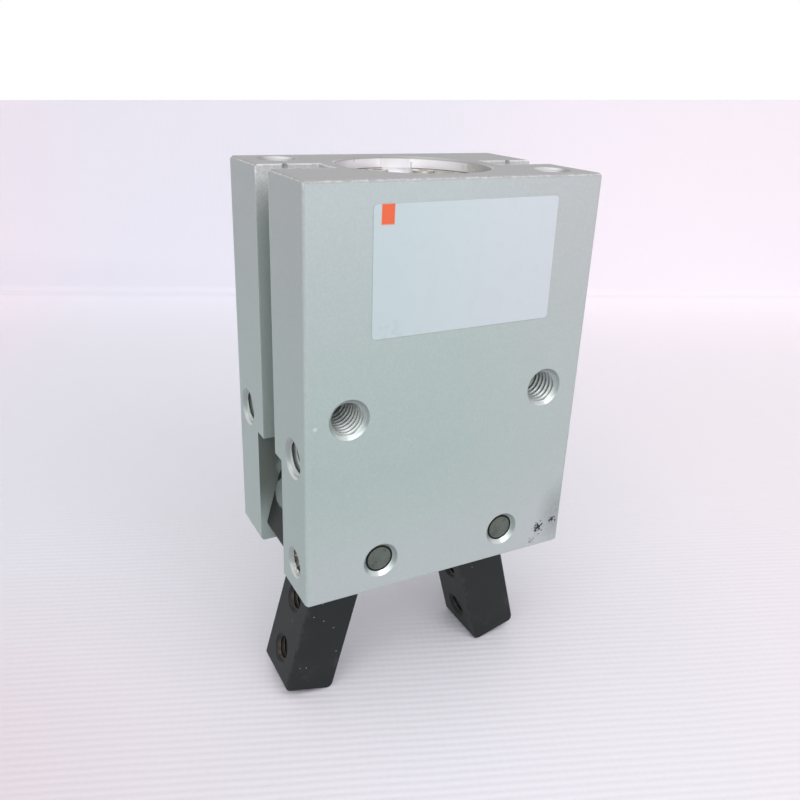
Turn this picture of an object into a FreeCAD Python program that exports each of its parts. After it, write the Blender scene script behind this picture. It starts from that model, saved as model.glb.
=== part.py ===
"""Single-acting pneumatic angular gripper, as a parametric FreeCAD document.

Lengths are millimetres and angles are degrees. The origin is the centre of the top mounting face, +Z points
up out of it, X runs along the wide faces and Y through the thickness, with the front face at negative Y. The
two fingers are the same part, turned half round about Z, and are drawn fully open with the piston down.
"""
import FreeCAD, Part
import math
import os

import Sketcher

DIMENSIONS = {
    # Body block
    "body_width": 42.0,
    "body_depth": 27.6,
    "body_height": 55.95,
    "body_corner_round": 0.6,
    "body_rim_bevel": 0.35,
    # Switch slots down both narrow sides, and the bay that the fingers swing in
    "slot_width": 5.0,
    "slot_web": 2.0,
    "slot_notch": 0.45,
    "slot_notch_inset": 4.0,
    "bay_width": 10.0,
    "bay_height": 18.25,
    # Cylinder, its locating recess and its end cap
    "bore_diameter": 20.0,
    "cap_shoulder": 0.5,
    "pilot_depth": 1.6,
    "pilot_bevel": 0.25,
    "ring_thickness": 1.0,
    "ring_play": 0.1,
    "ring_groove_depth": 0.6,
    "ring_width": 1.9,
    "ring_taper": 0.5,
    "ring_gap_angle": 74.0,
    "ring_gap_spread": 24.0,
    "ring_lug_radius": 1.55,
    "ring_lug_angle": 10.2,
    "ring_lug_hole": 1.4,
    "cap_thickness": 4.0,
    "cap_play": 0.05,
    "cap_dish_radius": 6.0,
    "cap_dish_depth": 0.6,
    "o_ring_section": 1.5,
    # Rod end of the cylinder
    "partition_thickness": 7.2,
    "rod_diameter": 8.0,
    "rod_play": 0.05,
    "seal_section": 2.2,
    "seal_height": 2.4,
    "seal_lip": 0.7,
    "seal_play": 0.03,
    "cover_thickness": 0.7,
    "cover_play": 0.2,
    "bumper_thickness": 1.5,
    "bumper_width": 3.4,
    "bumper_play": 0.5,
    "stop_gap": 0.1,
    # Piston and the parts it carries
    "piston_length": 11.5,
    "piston_play": 0.15,
    "piston_edge_bevel": 0.5,
    "piston_seal_offset": 2.0,
    "piston_seal_height": 2.4,
    "piston_seal_section": 2.3,
    "piston_seal_play": 0.03,
    "magnet_offset": 6.2,
    "magnet_height": 3.0,
    "magnet_section": 1.7,
    "magnet_inset": 0.2,
    "groove_play": 0.03,
    "spigot_diameter": 5.0,
    "spigot_play": 0.02,
    "clip_thickness": 0.6,
    "clip_groove_depth": 0.5,
    "clip_width": 1.8,
    # Return spring above the piston
    "spring_wire": 1.2,
    "spring_mean_radius": 5.9,
    "spring_turns": 6.0,
    "spring_seat_depth": 4.0,
    "spring_seat_play": 0.2,
    "spring_end_gap": 0.05,
    "spring_boss_height": 1.2,
    # Rod end, centre pin and side rollers
    "tongue_thickness": 3.0,
    "tongue_width": 6.0,
    "tongue_length": 6.6,
    "centre_pin_diameter": 2.5,
    "centre_pin_inset": 0.2,
    "roller_diameter": 4.5,
    "roller_play": 0.02,
    "roller_inset": 0.1,
    # Fingers and their pivots
    "pivot_spacing": 20.0,
    "pivot_rise": 4.8,
    "pivot_pin_diameter": 4.0,
    "pivot_pin_recess": 0.5,
    "pivot_mouth_bevel": 0.6,
    "needle_diameter": 1.0,
    "needle_inset": 0.4,
    "bearing_play": 0.02,
    "open_angle": 15.0,
    "finger_side_play": 0.1,
    "finger_width": 8.0,
    "finger_length": 28.4,
    "finger_tip_round": 1.0,
    "finger_edge_bevel": 0.25,
    "finger_hole_diameter": 4.0,
    "finger_hole_bevel": 0.3,
    "finger_hole_from_tip": 4.7,
    "finger_hole_pitch": 9.0,
    "head_reach": 9.3,
    "head_drop": 5.0,
    "head_top_round": 6.0,
    "head_foot_round": 1.0,
    "head_inner_reach": 5.1,
    "head_inner_height": 1.5,
    "head_inner_slope": 3.6,
    "head_inner_drop": 1.0,
    "head_inner_toe": 2.0,
    "arm_rise": 5.0,
    "arm_tip_reach": 12.6,
    "arm_slot_start": 6.4,
    "arm_prong": 1.8,
    "arm_slot_play": 0.15,
    "arm_tongue_gap": 0.2,
    # Tapped holes, at the thread's major diameter
    "mount_thread_diameter": 5.0,
    "mount_thread_bevel": 0.3,
    "side_mount_pitch": 30.0,
    "side_mount_drop": 29.2,
    "side_mount_thread_depth": 8.0,
    "side_mount_through": 4.3,
    "top_mount_side_inset": 5.0,
    "top_mount_face_inset": 4.8,
    "top_mount_depth": 10.0,
    # Air ports and passages
    "port_inset": 4.4,
    "port_rise": 2.3,
    "port_depth": 6.5,
    "run_diameter": 1.6,
    "rise_diameter": 2.0,
    "supply_rise_x": 2.5,
    "supply_rise_y": 8.6,
    "vent_rise_x": 10.5,
    "vent_top_drop": 9.5,
    "filter_thickness": 2.0,
    "filter_play": 0.05,
    # Set screws that lock the pivot pins
    "lock_screw_diameter": 4.0,
    "lock_screw_play": 0.05,
    "lock_screw_length": 6.0,
    "lock_screw_gap": 0.05,
    "lock_screw_bevel": 0.25,
    "lock_socket_flats": 2.0,
    "lock_socket_depth": 2.2,
}

# Cuts run this far past a face so that no skin is left on it.
OVERCUT = 1.0
# Two lengths closer than this are the same.
TOUCH = 1e-4
# How much of its half width the rod's tongue is rounded by, and how wide the clip's mouth is for its hole
TONGUE_ROUND_SHARE = 0.95
CLIP_MOUTH_SHARE = 0.8

doc = FreeCAD.newDocument("AngularGripper")
sheet = doc.addObject("Spreadsheet::Sheet", "dims")


def fill_sheet():
    """Put each driving dimension in a row of its own: its name, then its number under an alias."""
    for row, (name, value) in enumerate(DIMENSIONS.items(), start=1):
        sheet.set(f"A{row}", name)
        sheet.set(f"B{row}", str(value))
        sheet.setAlias(f"B{row}", name)
    doc.recompute()


class Size:
    """A number together with the sheet expression that gives it."""

    def __init__(self, value, text):
        self.value = value
        self.text = text

    def __add__(self, other):
        other = as_size(other)
        return Size(self.value + other.value, f"({self.text} + {other.text})")

    def __sub__(self, other):
        other = as_size(other)
        return Size(self.value - other.value, f"({self.text} - {other.text})")

    def __mul__(self, other):
        other = as_size(other)
        return Size(self.value * other.value, f"({self.text} * {other.text})")

    def __truediv__(self, other):
        other = as_size(other)
        return Size(self.value / other.value, f"({self.text} / {other.text})")

    def __neg__(self):
        return Size(-self.value, f"(0 - {self.text})")


def as_size(number):
    """A Size as it is, or a plain number as a Size."""
    if isinstance(number, Size):
        return number
    return Size(float(number), f"({float(number)!r})")


def dim(name):
    """The driving dimension of that name."""
    return Size(float(sheet.get(name)), f"dims.{name}")


def cosine(angle):
    """Cosine of an angle in degrees."""
    return Size(math.cos(math.radians(angle.value)), f"cos({angle.text} * 1 deg)")


def tangent(angle):
    """Tangent of an angle in degrees."""
    return Size(math.tan(math.radians(angle.value)), f"tan({angle.text} * 1 deg)")


def hypotenuse(a, b):
    """Distance between two points that are a apart one way and b apart the other way."""
    return Size(math.hypot(a.value, b.value), f"sqrt({a.text} * {a.text} + {b.text} * {b.text})")


def bind(thing, prop, size):
    """Tie a property to the sheet."""
    thing.setExpression(prop, as_size(size).text)


def vector_text(x, y, z):
    """Expression for a vector of three sizes or numbers."""
    return f"create(<<vector>>; {as_size(x).text}; {as_size(y).text}; {as_size(z).text})"


def place(thing, x, y, z, axis=(0, 0, 1), angle=0):
    """Tie a placement to the sheet: a position, and a turn about one axis."""
    turn = f"create(<<rotation>>; {vector_text(*axis)}; {as_size(angle).text})"
    thing.setExpression("Placement", f"create(<<placement>>; {vector_text(x, y, z)}; {turn})")


def new_body(label):
    """An empty body whose label names its file."""
    body = doc.addObject("PartDesign::Body", label)
    body.Label = label
    return body


def new_sketch(body, name, role, offset=None):
    """A sketch on one of the body's origin planes, or parallel to it at an offset along its normal."""
    sketch = body.newObject("Sketcher::SketchObject", name)
    plane = next(feature for feature in body.Origin.OriginFeatures if feature.Role == role)
    sketch.AttachmentSupport = (plane, [""])
    sketch.MapMode = "FlatFace"
    if offset is not None:
        bind(sketch, "AttachmentOffset.Base.z", offset)
    return sketch


def pin_point(sketch, edge, end, x, y):
    """Tie a sketch point to the sheet by its distances from the sketch origin."""
    for kind, size in (("DistanceX", x), ("DistanceY", y)):
        index = sketch.addConstraint(Sketcher.Constraint(kind, -1, 1, edge, end, size.value))
        sketch.setExpression(f"Constraints[{index}]", size.text)


def polygon(sketch, points):
    """A closed outline of straight lines through the points."""
    points = [(as_size(x), as_size(y)) for x, y in points]
    corners = [FreeCAD.Vector(x.value, y.value, 0) for x, y in points]
    first = sketch.GeometryCount
    count = len(points)
    for i in range(count):
        sketch.addGeometry(Part.LineSegment(corners[i], corners[(i + 1) % count]))
    for i in range(count):
        sketch.addConstraint(Sketcher.Constraint("Coincident", first + i, 2, first + (i + 1) % count, 1))
    for i, (x, y) in enumerate(points):
        pin_point(sketch, first + i, 1, x, y)


def rectangle(sketch, left, right, low, high):
    """A closed rectangle."""
    polygon(sketch, [(left, low), (right, low), (right, high), (left, high)])


def circle(sketch, x, y, radius):
    """A full circle."""
    x, y, radius = as_size(x), as_size(y), as_size(radius)
    centre = FreeCAD.Vector(x.value, y.value, 0)
    index = sketch.addGeometry(Part.Circle(centre, FreeCAD.Vector(0, 0, 1), radius.value))
    pin_point(sketch, index, 3, x, y)
    limit = sketch.addConstraint(Sketcher.Constraint("Radius", index, radius.value))
    sketch.setExpression(f"Constraints[{limit}]", radius.text)


def pad(body, sketch, name, length, both_ways=False, reverse=False):
    """Thicken an outline."""
    feature = body.newObject("PartDesign::Pad", name)
    feature.Profile = sketch
    feature.SideType = "Symmetric" if both_ways else "One side"
    feature.Reversed = reverse
    bind(feature, "Length", length)
    doc.recompute()
    return feature


def must_cut(body, before):
    """Stop if a cut took nothing away."""
    if not body.Shape.Volume < before - TOUCH:
        raise RuntimeError(f"a cut in {body.Label} removed nothing")


def pocket(body, sketch, name, length=None, both_ways=False, reverse=False):
    """Cut an outline away, to a depth or right through."""
    before = body.Shape.Volume
    feature = body.newObject("PartDesign::Pocket", name)
    feature.Profile = sketch
    feature.SideType = "Symmetric" if both_ways else "One side"
    feature.Reversed = reverse
    if length is None:
        feature.Type = "ThroughAll"
    else:
        bind(feature, "Length", length)
    doc.recompute()
    must_cut(body, before)
    return feature


def revolve(body, name, points, cut=False):
    """Turn a profile of (radius, height) points about Z, as a solid or as a cut."""
    before = body.Shape.Volume if cut else 0.0
    sketch = new_sketch(body, f"{name}_profile", "XZ_Plane")
    polygon(sketch, points)
    feature = body.newObject("PartDesign::Groove" if cut else "PartDesign::Revolution", name)
    feature.Profile = sketch
    feature.ReferenceAxis = (sketch, ["V_Axis"])
    feature.Angle = 360.0
    doc.recompute()
    if cut:
        must_cut(body, before)
    return feature


def drill(body, name, x, y, z, radius, length, axis=(0, 0, 1), angle=0):
    """A straight round passage, from a point along a turned Z."""
    before = body.Shape.Volume
    feature = body.newObject("PartDesign::SubtractiveCylinder", name)
    bind(feature, "Radius", radius)
    bind(feature, "Height", length)
    place(feature, x, y, z, axis, angle)
    doc.recompute()
    must_cut(body, before)
    return feature


def ease(body, kind, name, size_property, size, test):
    """Fillet or chamfer every edge of the body so far that passes the test."""
    base = body.Tip
    names = [f"Edge{i}" for i, edge in enumerate(base.Shape.Edges, start=1) if test(edge)]
    if not names:
        raise RuntimeError(f"no edge found for {name} in {body.Label}")
    feature = body.newObject(kind, name)
    feature.Base = (base, names)
    bind(feature, size_property, size)
    doc.recompute()
    return feature


def fillet(body, name, radius, test):
    """Round the edges that pass the test."""
    return ease(body, "PartDesign::Fillet", name, "Radius", radius, test)


def chamfer(body, name, size, test):
    """Bevel the edges that pass the test."""
    return ease(body, "PartDesign::Chamfer", name, "Size", size, test)


def near(a, b):
    """Whether two lengths are the same."""
    return abs(a - b) < TOUCH


def is_straight(edge, axis):
    """Whether an edge is a line along one of the axes, given as 0, 1 or 2."""
    if not isinstance(edge.Curve, (Part.Line, Part.LineSegment)):
        return False
    return near(abs(edge.Curve.Direction[axis]), 1.0)


def is_rim(edge, radius, axis, level):
    """Whether an edge is a circle of that radius whose centre lies at a level along one axis."""
    if not isinstance(edge.Curve, Part.Circle):
        return False
    return near(edge.Curve.Radius, radius.value) and near(abs(edge.Curve.Center[axis]), abs(level.value))


def middle(edge):
    """Point half way along an edge."""
    return edge.valueAt((edge.FirstParameter + edge.LastParameter) / 2)


def bevel_rims(body, name, size, radius, axis, level):
    """Bevel the mouths of the holes of one radius that open at a level along one axis."""
    return chamfer(body, name, size, lambda edge: is_rim(edge, radius, axis, level))


fill_sheet()

# Half sizes and heights that several pieces share
half_width = dim("body_width") / 2
half_depth = dim("body_depth") / 2
half_slot = dim("slot_width") / 2
half_bay = dim("bay_width") / 2
bottom_z = -dim("body_height")
ceiling_z = bottom_z + dim("bay_height")
floor_z = ceiling_z + dim("partition_thickness")
pivot_z = bottom_z + dim("pivot_rise")
pivot_x = dim("pivot_spacing") / 2
port_y = half_depth - dim("port_inset")
port_z = ceiling_z + dim("port_rise")

# Cylinder radii and levels
bore_radius = dim("bore_diameter") / 2
pilot_radius = bore_radius + dim("cap_shoulder")
ring_groove_radius = pilot_radius + dim("ring_groove_depth")
ring_top_z = -dim("pilot_depth")
cap_top_z = ring_top_z - dim("ring_thickness") - dim("ring_play")
cap_base_z = cap_top_z - dim("cap_thickness")
slot_floor_x = pilot_radius + dim("slot_web")
rod_radius = dim("rod_diameter") / 2
rod_hole_radius = rod_radius + dim("rod_play")
seal_seat_radius = rod_radius + dim("seal_section")
cover_base_z = floor_z - dim("cover_thickness")
seal_seat_z = cover_base_z - dim("seal_height")

# Piston levels with the fingers open
bumper_top_z = floor_z + dim("bumper_thickness")
piston_base_z = bumper_top_z + dim("stop_gap")
piston_top_z = piston_base_z + dim("piston_length")
spring_seat_z = piston_top_z - dim("spring_seat_depth")
clip_base_z = spring_seat_z + dim("groove_play")
clip_top_z = clip_base_z + dim("clip_thickness")
spigot_radius = dim("spigot_diameter") / 2
clip_groove_radius = spigot_radius - dim("clip_groove_depth")

# Centre pin height with the fingers open: it lies where both arms' slots cross the gripper's middle line.
centre_pin_z = pivot_z + dim("arm_rise") / cosine(dim("open_angle")) - pivot_x * tangent(dim("open_angle"))
tongue_half = dim("tongue_thickness") / 2
rod_shoulder_z = centre_pin_z + dim("tongue_length")

# Finger sizes, in the finger's own frame: u outward from the pivot, w up
half_finger = dim("finger_width") / 2
half_finger_depth = half_bay - dim("finger_side_play")
pin_radius = dim("pivot_pin_diameter") / 2
needle_radius = dim("needle_diameter") / 2
needle_circle = pin_radius + dim("bearing_play") + needle_radius
finger_bore_radius = needle_circle + needle_radius + dim("bearing_play")
roller_radius = dim("roller_diameter") / 2
arm_slot_half = roller_radius + dim("arm_slot_play")
arm_top = dim("arm_rise") + arm_slot_half + dim("arm_prong")
arm_base = dim("arm_rise") - arm_slot_half - dim("arm_prong")
arm_inner_y = tongue_half + dim("arm_tongue_gap")
lower_hole_w = -(dim("finger_length") - dim("finger_hole_from_tip"))
upper_hole_w = lower_hole_w + dim("finger_hole_pitch")
mount_radius = dim("mount_thread_diameter") / 2
lock_radius = dim("lock_screw_diameter") / 2
run_radius = dim("run_diameter") / 2
rise_radius = dim("rise_diameter") / 2

SIDES = {"left": -1, "right": 1}


def make_body_block():
    """The anodised block: cylinder, switch slots, finger bay, ports and every tapped hole."""
    body = new_body("body_block")
    outline = new_sketch(body, "block_outline", "XY_Plane")
    rectangle(outline, -half_width, half_width, -half_depth, half_depth)
    pad(body, outline, "block", dim("body_height"), reverse=True)
    fillet(body, "block_corners", dim("body_corner_round"), lambda edge: is_straight(edge, 2))

    def on_end_face(edge):
        level = middle(edge).z
        return near(level, 0.0) or near(level, bottom_z.value)

    chamfer(body, "block_rims", dim("body_rim_bevel"), on_end_face)

    # Switch slots, each with a fine V notch in both of its walls
    slots = new_sketch(body, "slot_outlines", "XY_Plane")
    notch = dim("slot_notch")
    for side in SIDES.values():
        mouth = (half_width + OVERCUT) * side
        notch_x = half_width - dim("slot_notch_inset")
        notch_start = (notch_x - notch) * side
        notch_end = (notch_x + notch) * side
        wall = [slot_floor_x * side, notch_start, notch_x * side, notch_end, mouth]
        reach = [half_slot, half_slot, half_slot + notch, half_slot, half_slot]
        near_wall = [(x, -y) for x, y in zip(wall, reach)]
        far_wall = list(zip(wall, reach))
        polygon(slots, near_wall + far_wall[::-1])
    pocket(body, slots, "switch_slots", -ceiling_z)

    bay = new_sketch(body, "bay_outline", "YZ_Plane")
    rectangle(bay, -half_bay, half_bay, bottom_z - OVERCUT, ceiling_z)
    pocket(body, bay, "finger_bay", both_ways=True)

    # Stepped cylinder: locating recess, ring groove, cap seat, bore, rod seal seat and rod hole
    revolve(body, "cylinder", [
        (0, OVERCUT),
        (pilot_radius + dim("pilot_bevel") + OVERCUT, OVERCUT),
        (pilot_radius, -dim("pilot_bevel")),
        (pilot_radius, ring_top_z),
        (ring_groove_radius, ring_top_z),
        (ring_groove_radius, cap_top_z),
        (pilot_radius, cap_top_z),
        (pilot_radius, cap_base_z),
        (bore_radius, cap_base_z),
        (bore_radius, floor_z),
        (seal_seat_radius, floor_z),
        (seal_seat_radius, seal_seat_z),
        (rod_hole_radius, seal_seat_z),
        (rod_hole_radius, ceiling_z - OVERCUT),
        (0, ceiling_z - OVERCUT),
    ], cut=True)

    make_mounting_holes(body)
    make_pivot_holes(body)
    make_air_ways(body)
    return body


def make_mounting_holes(body):
    """Tapped pairs in the front and top faces; the front pair goes on through as plain holes."""
    side_x = dim("side_mount_pitch") / 2
    side_z = -dim("side_mount_drop")
    through = new_sketch(body, "side_through_outline", "XZ_Plane")
    threads = new_sketch(body, "side_thread_outline", "XZ_Plane", half_depth)
    for side in SIDES.values():
        circle(through, side_x * side, side_z, dim("side_mount_through") / 2)
        circle(threads, side_x * side, side_z, mount_radius)
    pocket(body, through, "side_through_holes", both_ways=True)
    pocket(body, threads, "side_threads", dim("side_mount_thread_depth"))
    top = new_sketch(body, "top_thread_outline", "XY_Plane")
    top_x = half_width - dim("top_mount_side_inset")
    top_y = half_depth - dim("top_mount_face_inset")
    for side in SIDES.values():
        circle(top, top_x * side, top_y * -side, mount_radius)
    pocket(body, top, "top_threads", dim("top_mount_depth"))

    def at_mouth(edge):
        front = is_rim(edge, mount_radius, 1, half_depth)
        back = is_rim(edge, dim("side_mount_through") / 2, 1, half_depth)
        return front or back or is_rim(edge, mount_radius, 2, as_size(0))

    chamfer(body, "mount_mouths", dim("mount_thread_bevel"), at_mouth)


def make_pivot_holes(body):
    """Cross holes for the pivot pins, and the tapped holes of the set screws that lock them."""
    pivots = new_sketch(body, "pivot_outline", "XZ_Plane")
    for side in SIDES.values():
        circle(pivots, pivot_x * side, pivot_z, pin_radius)
    pocket(body, pivots, "pivot_holes", both_ways=True)
    bevel_rims(body, "pivot_mouths", dim("pivot_mouth_bevel"), pin_radius, 1, half_depth)
    for name, side in SIDES.items():
        lock = new_sketch(body, f"{name}_lock_outline", "YZ_Plane", half_width * side)
        circle(lock, port_y * side, pivot_z, lock_radius)
        pocket(body, lock, f"{name}_lock_hole", half_width - pivot_x, reverse=side < 0)
    bevel_rims(body, "lock_mouths", dim("lock_screw_bevel"), lock_radius, 0, half_width)


def make_air_ways(body):
    """Two tapped ports in the left side, with drilled ways to the rod end and to the spring end."""
    ports = new_sketch(body, "port_outline", "YZ_Plane", -half_width)
    for side in SIDES.values():
        circle(ports, port_y * side, port_z, mount_radius)
    pocket(body, ports, "ports", dim("port_depth"), reverse=True)
    bevel_rims(body, "port_mouths", dim("mount_thread_bevel"), mount_radius, 0, half_width)
    port_end_x = -half_width + dim("port_depth")
    rise_base_z = port_z - rise_radius

    # The supply slants from its port to a riser inside the bore's circle.
    supply_x = -dim("supply_rise_x")
    supply_y = -dim("supply_rise_y")
    run_x = supply_x - port_end_x
    run_y = supply_y + port_y
    drill(body, "supply_run", port_end_x, -port_y, port_z, run_radius, hypotenuse(run_x, run_y),
          axis=(-run_y, run_x, 0), angle=90)
    drill(body, "supply_rise", supply_x, supply_y, rise_base_z, rise_radius, floor_z - rise_base_z)

    vent_x = -dim("vent_rise_x")
    vent_run = vent_x - port_end_x
    drill(body, "vent_run", port_end_x, port_y, port_z, run_radius, vent_run, axis=(0, 1, 0), angle=90)
    drill(body, "vent_rise", vent_x, port_y, rise_base_z, rise_radius, -dim("vent_top_drop") - rise_base_z)
    entry_z = -dim("vent_top_drop") - dim("rise_diameter")
    drill(body, "vent_entry", vent_x, port_y, entry_z, run_radius, dim("vent_rise_x"),
          axis=(port_y, dim("vent_rise_x"), 0), angle=90)


def make_cap():
    """Disc that closes the cylinder, with an O-ring groove, a shallow dish and a boss for the spring."""
    body = new_body("cylinder_cap")
    radius = pilot_radius - dim("cap_play")
    section = dim("o_ring_section")
    groove_radius = pilot_radius - section - dim("cap_play")
    groove_low = (cap_top_z + cap_base_z - section) / 2 - dim("groove_play")
    groove_high = (cap_top_z + cap_base_z + section) / 2 + dim("groove_play")
    boss_radius = dim("spring_mean_radius") - dim("spring_wire") / 2 - dim("spring_seat_play")
    revolve(body, "disc", [
        (0, cap_base_z - dim("spring_boss_height")),
        (boss_radius, cap_base_z - dim("spring_boss_height")),
        (boss_radius, cap_base_z),
        (radius, cap_base_z),
        (radius, groove_low),
        (groove_radius, groove_low),
        (groove_radius, groove_high),
        (radius, groove_high),
        (radius, cap_top_z - dim("pilot_bevel")),
        (radius - dim("pilot_bevel"), cap_top_z),
        (dim("cap_dish_radius"), cap_top_z),
        (dim("cap_dish_radius") - dim("cap_dish_depth"), cap_top_z - dim("cap_dish_depth")),
        (0, cap_top_z - dim("cap_dish_depth")),
    ])
    return body


def make_cap_o_ring():
    """O-ring in the cap's groove."""
    ring = doc.addObject("Part::Torus", "cap_o_ring")
    cord_radius = dim("o_ring_section") / 2 - dim("cap_play") / 2
    bind(ring, "Radius1", pilot_radius - dim("o_ring_section") / 2 - dim("cap_play") / 2)
    bind(ring, "Radius2", cord_radius)
    place(ring, 0, 0, (cap_top_z + cap_base_z) / 2)
    return ring


def make_retaining_ring():
    """Sprung C ring over the cap: thick opposite its gap, with an eye at each end for pliers."""
    body = new_body("retaining_ring")
    outer = ring_groove_radius - dim("ring_play")
    inner = outer - dim("ring_width")
    sheet_z = ring_top_z - dim("ring_play") / 2
    rim = new_sketch(body, "ring_outline", "XY_Plane", sheet_z)
    circle(rim, 0, 0, outer)
    circle(rim, dim("ring_taper"), 0, inner)
    pad(body, rim, "ring", dim("ring_thickness"), reverse=True)
    half_gap = dim("ring_gap_spread") / 2
    lug_reach = pilot_radius - dim("ring_lug_radius") - dim("ring_play") * 2
    lug_turn = half_gap + dim("ring_lug_angle")
    lug_x = lug_reach * cosine(lug_turn)
    lug_y = lug_x * tangent(lug_turn)
    lugs = new_sketch(body, "lug_outline", "XY_Plane", sheet_z)
    eyes = new_sketch(body, "eye_outline", "XY_Plane", sheet_z)
    for side in SIDES.values():
        circle(lugs, lug_x, lug_y * side, dim("ring_lug_radius"))
        circle(eyes, lug_x, lug_y * side, dim("ring_lug_hole") / 2)
    pad(body, lugs, "lugs", dim("ring_thickness"), reverse=True)
    gap = new_sketch(body, "gap_outline", "XY_Plane", sheet_z)
    gap_end = outer + OVERCUT
    polygon(gap, [(0, 0), (gap_end, -gap_end * tangent(half_gap)), (gap_end, gap_end * tangent(half_gap))])
    pocket(body, gap, "gap", dim("ring_thickness"))
    pocket(body, eyes, "eyes", dim("ring_thickness"))
    place(body, 0, 0, 0, (0, 0, 1), dim("ring_gap_angle"))
    return body


def make_rod_seal():
    """Lip seal round the rod, its lips towards the cylinder."""
    body = new_body("rod_seal")
    inner = rod_radius + dim("seal_play")
    outer = seal_seat_radius - dim("seal_play")
    low = seal_seat_z
    high = cover_base_z - dim("seal_play")
    lip = dim("seal_lip")
    revolve(body, "lips", [
        (inner + lip / 2, low),
        (outer, low),
        (outer, high),
        (outer - lip, high),
        ((inner + outer) / 2, low + lip),
        (inner + lip, high),
        (inner, high),
        (inner + lip / 2, low + lip),
    ])
    return body


def make_rod_seal_cover():
    """Washer over the rod seal, flush with the cylinder floor."""
    body = new_body("rod_seal_cover")
    inner = rod_radius + dim("cover_play")
    revolve(body, "washer", [
        (inner, cover_base_z),
        (seal_seat_radius - dim("seal_play"), cover_base_z),
        (seal_seat_radius - dim("seal_play"), floor_z),
        (inner, floor_z),
    ])
    return body


def make_end_bumper():
    """Soft ring on the cylinder floor that the piston comes down on; it also holds the seal cover in."""
    body = new_body("end_bumper")
    inner = rod_radius + dim("bumper_play")
    outer = inner + dim("bumper_width")
    edge = dim("bumper_thickness") / 4
    revolve(body, "ring", [
        (inner, floor_z),
        (outer, floor_z),
        (outer, bumper_top_z - edge),
        (outer - edge, bumper_top_z),
        (inner + edge, bumper_top_z),
        (inner, bumper_top_z - edge),
    ])
    return body


def make_piston():
    """Piston with a seal groove, a magnet groove and a seat for the return spring."""
    body = new_body("piston")
    radius = bore_radius - dim("piston_play")
    bevel = dim("piston_edge_bevel")
    seal_low = piston_base_z + dim("piston_seal_offset")
    seal_high = seal_low + dim("piston_seal_height")
    seal_floor = bore_radius - dim("piston_seal_section")
    magnet_low = piston_base_z + dim("magnet_offset")
    magnet_high = magnet_low + dim("magnet_height")
    magnet_floor = radius - dim("magnet_inset") - dim("magnet_section")
    seat_radius = dim("spring_mean_radius") + dim("spring_wire") / 2 + dim("spring_seat_play")
    spigot_hole = spigot_radius + dim("spigot_play")
    revolve(body, "piston_turning", [
        (spigot_hole, piston_base_z),
        (radius - bevel, piston_base_z),
        (radius, piston_base_z + bevel),
        (radius, seal_low),
        (seal_floor, seal_low),
        (seal_floor, seal_high),
        (radius, seal_high),
        (radius, magnet_low),
        (magnet_floor, magnet_low),
        (magnet_floor, magnet_high),
        (radius, magnet_high),
        (radius, piston_top_z - bevel),
        (radius - bevel, piston_top_z),
        (seat_radius, piston_top_z),
        (seat_radius, spring_seat_z),
        (spigot_hole, spring_seat_z),
    ])
    return body


def make_piston_seal():
    """Piston seal: a square-backed ring with a rounded crown towards the bore."""
    body = new_body("piston_seal")
    inner = bore_radius - dim("piston_seal_section") + dim("groove_play")
    outer = bore_radius - dim("piston_seal_play")
    low = piston_base_z + dim("piston_seal_offset") + dim("groove_play")
    high = low + dim("piston_seal_height") - dim("groove_play") * 2
    crown = dim("piston_seal_height") / 4
    revolve(body, "seal_ring", [
        (inner, low),
        (outer - crown, low),
        (outer, low + crown),
        (outer, high - crown),
        (outer - crown, high),
        (inner, high),
    ])
    return body


def make_magnet_ring():
    """Magnet in the piston, which the switches in the side slots sense."""
    body = new_body("magnet_ring")
    radius = bore_radius - dim("piston_play") - dim("magnet_inset")
    inner = radius - dim("magnet_section") + dim("groove_play")
    low = piston_base_z + dim("magnet_offset") + dim("groove_play")
    high = low + dim("magnet_height") - dim("groove_play") * 2
    revolve(body, "magnet", [(inner, low), (radius, low), (radius, high), (inner, high)])
    return body


def make_piston_rod():
    """Rod with a spigot for the piston at the top and a flat tongue for the centre pin at the bottom."""
    body = new_body("piston_rod")
    tongue_end_z = centre_pin_z - dim("tongue_width") / 2
    bevel = dim("piston_edge_bevel")
    spigot_end_z = clip_top_z + dim("clip_thickness") * 2
    revolve(body, "turning", [
        (0, tongue_end_z),
        (rod_radius, tongue_end_z),
        (rod_radius, piston_base_z),
        (spigot_radius, piston_base_z),
        (spigot_radius, clip_base_z),
        (clip_groove_radius, clip_base_z),
        (clip_groove_radius, clip_top_z),
        (spigot_radius, clip_top_z),
        (spigot_radius, spigot_end_z - bevel),
        (spigot_radius - bevel, spigot_end_z),
        (0, spigot_end_z),
    ])
    flats = new_sketch(body, "flat_outline", "YZ_Plane")
    edges = new_sketch(body, "edge_outline", "XZ_Plane")
    tongue_side = dim("tongue_width") / 2
    rod_side = rod_radius + OVERCUT
    for side in SIDES.values():
        near_flat = tongue_half * side
        near_edge = tongue_side * side
        rectangle(flats, near_flat, rod_side * side, tongue_end_z - OVERCUT, rod_shoulder_z)
        rectangle(edges, near_edge, rod_side * side, tongue_end_z - OVERCUT, rod_shoulder_z)
    pocket(body, flats, "tongue_flats", both_ways=True)
    pocket(body, edges, "tongue_edges", both_ways=True)
    pin_hole = new_sketch(body, "pin_hole_outline", "XZ_Plane")
    circle(pin_hole, 0, centre_pin_z, dim("centre_pin_diameter") / 2)
    pocket(body, pin_hole, "pin_hole", both_ways=True)

    def at_tongue_corner(edge):
        return is_straight(edge, 1) and near(middle(edge).z, tongue_end_z.value)

    fillet(body, "tongue_end", tongue_side * TONGUE_ROUND_SHARE, at_tongue_corner)
    return body


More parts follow.
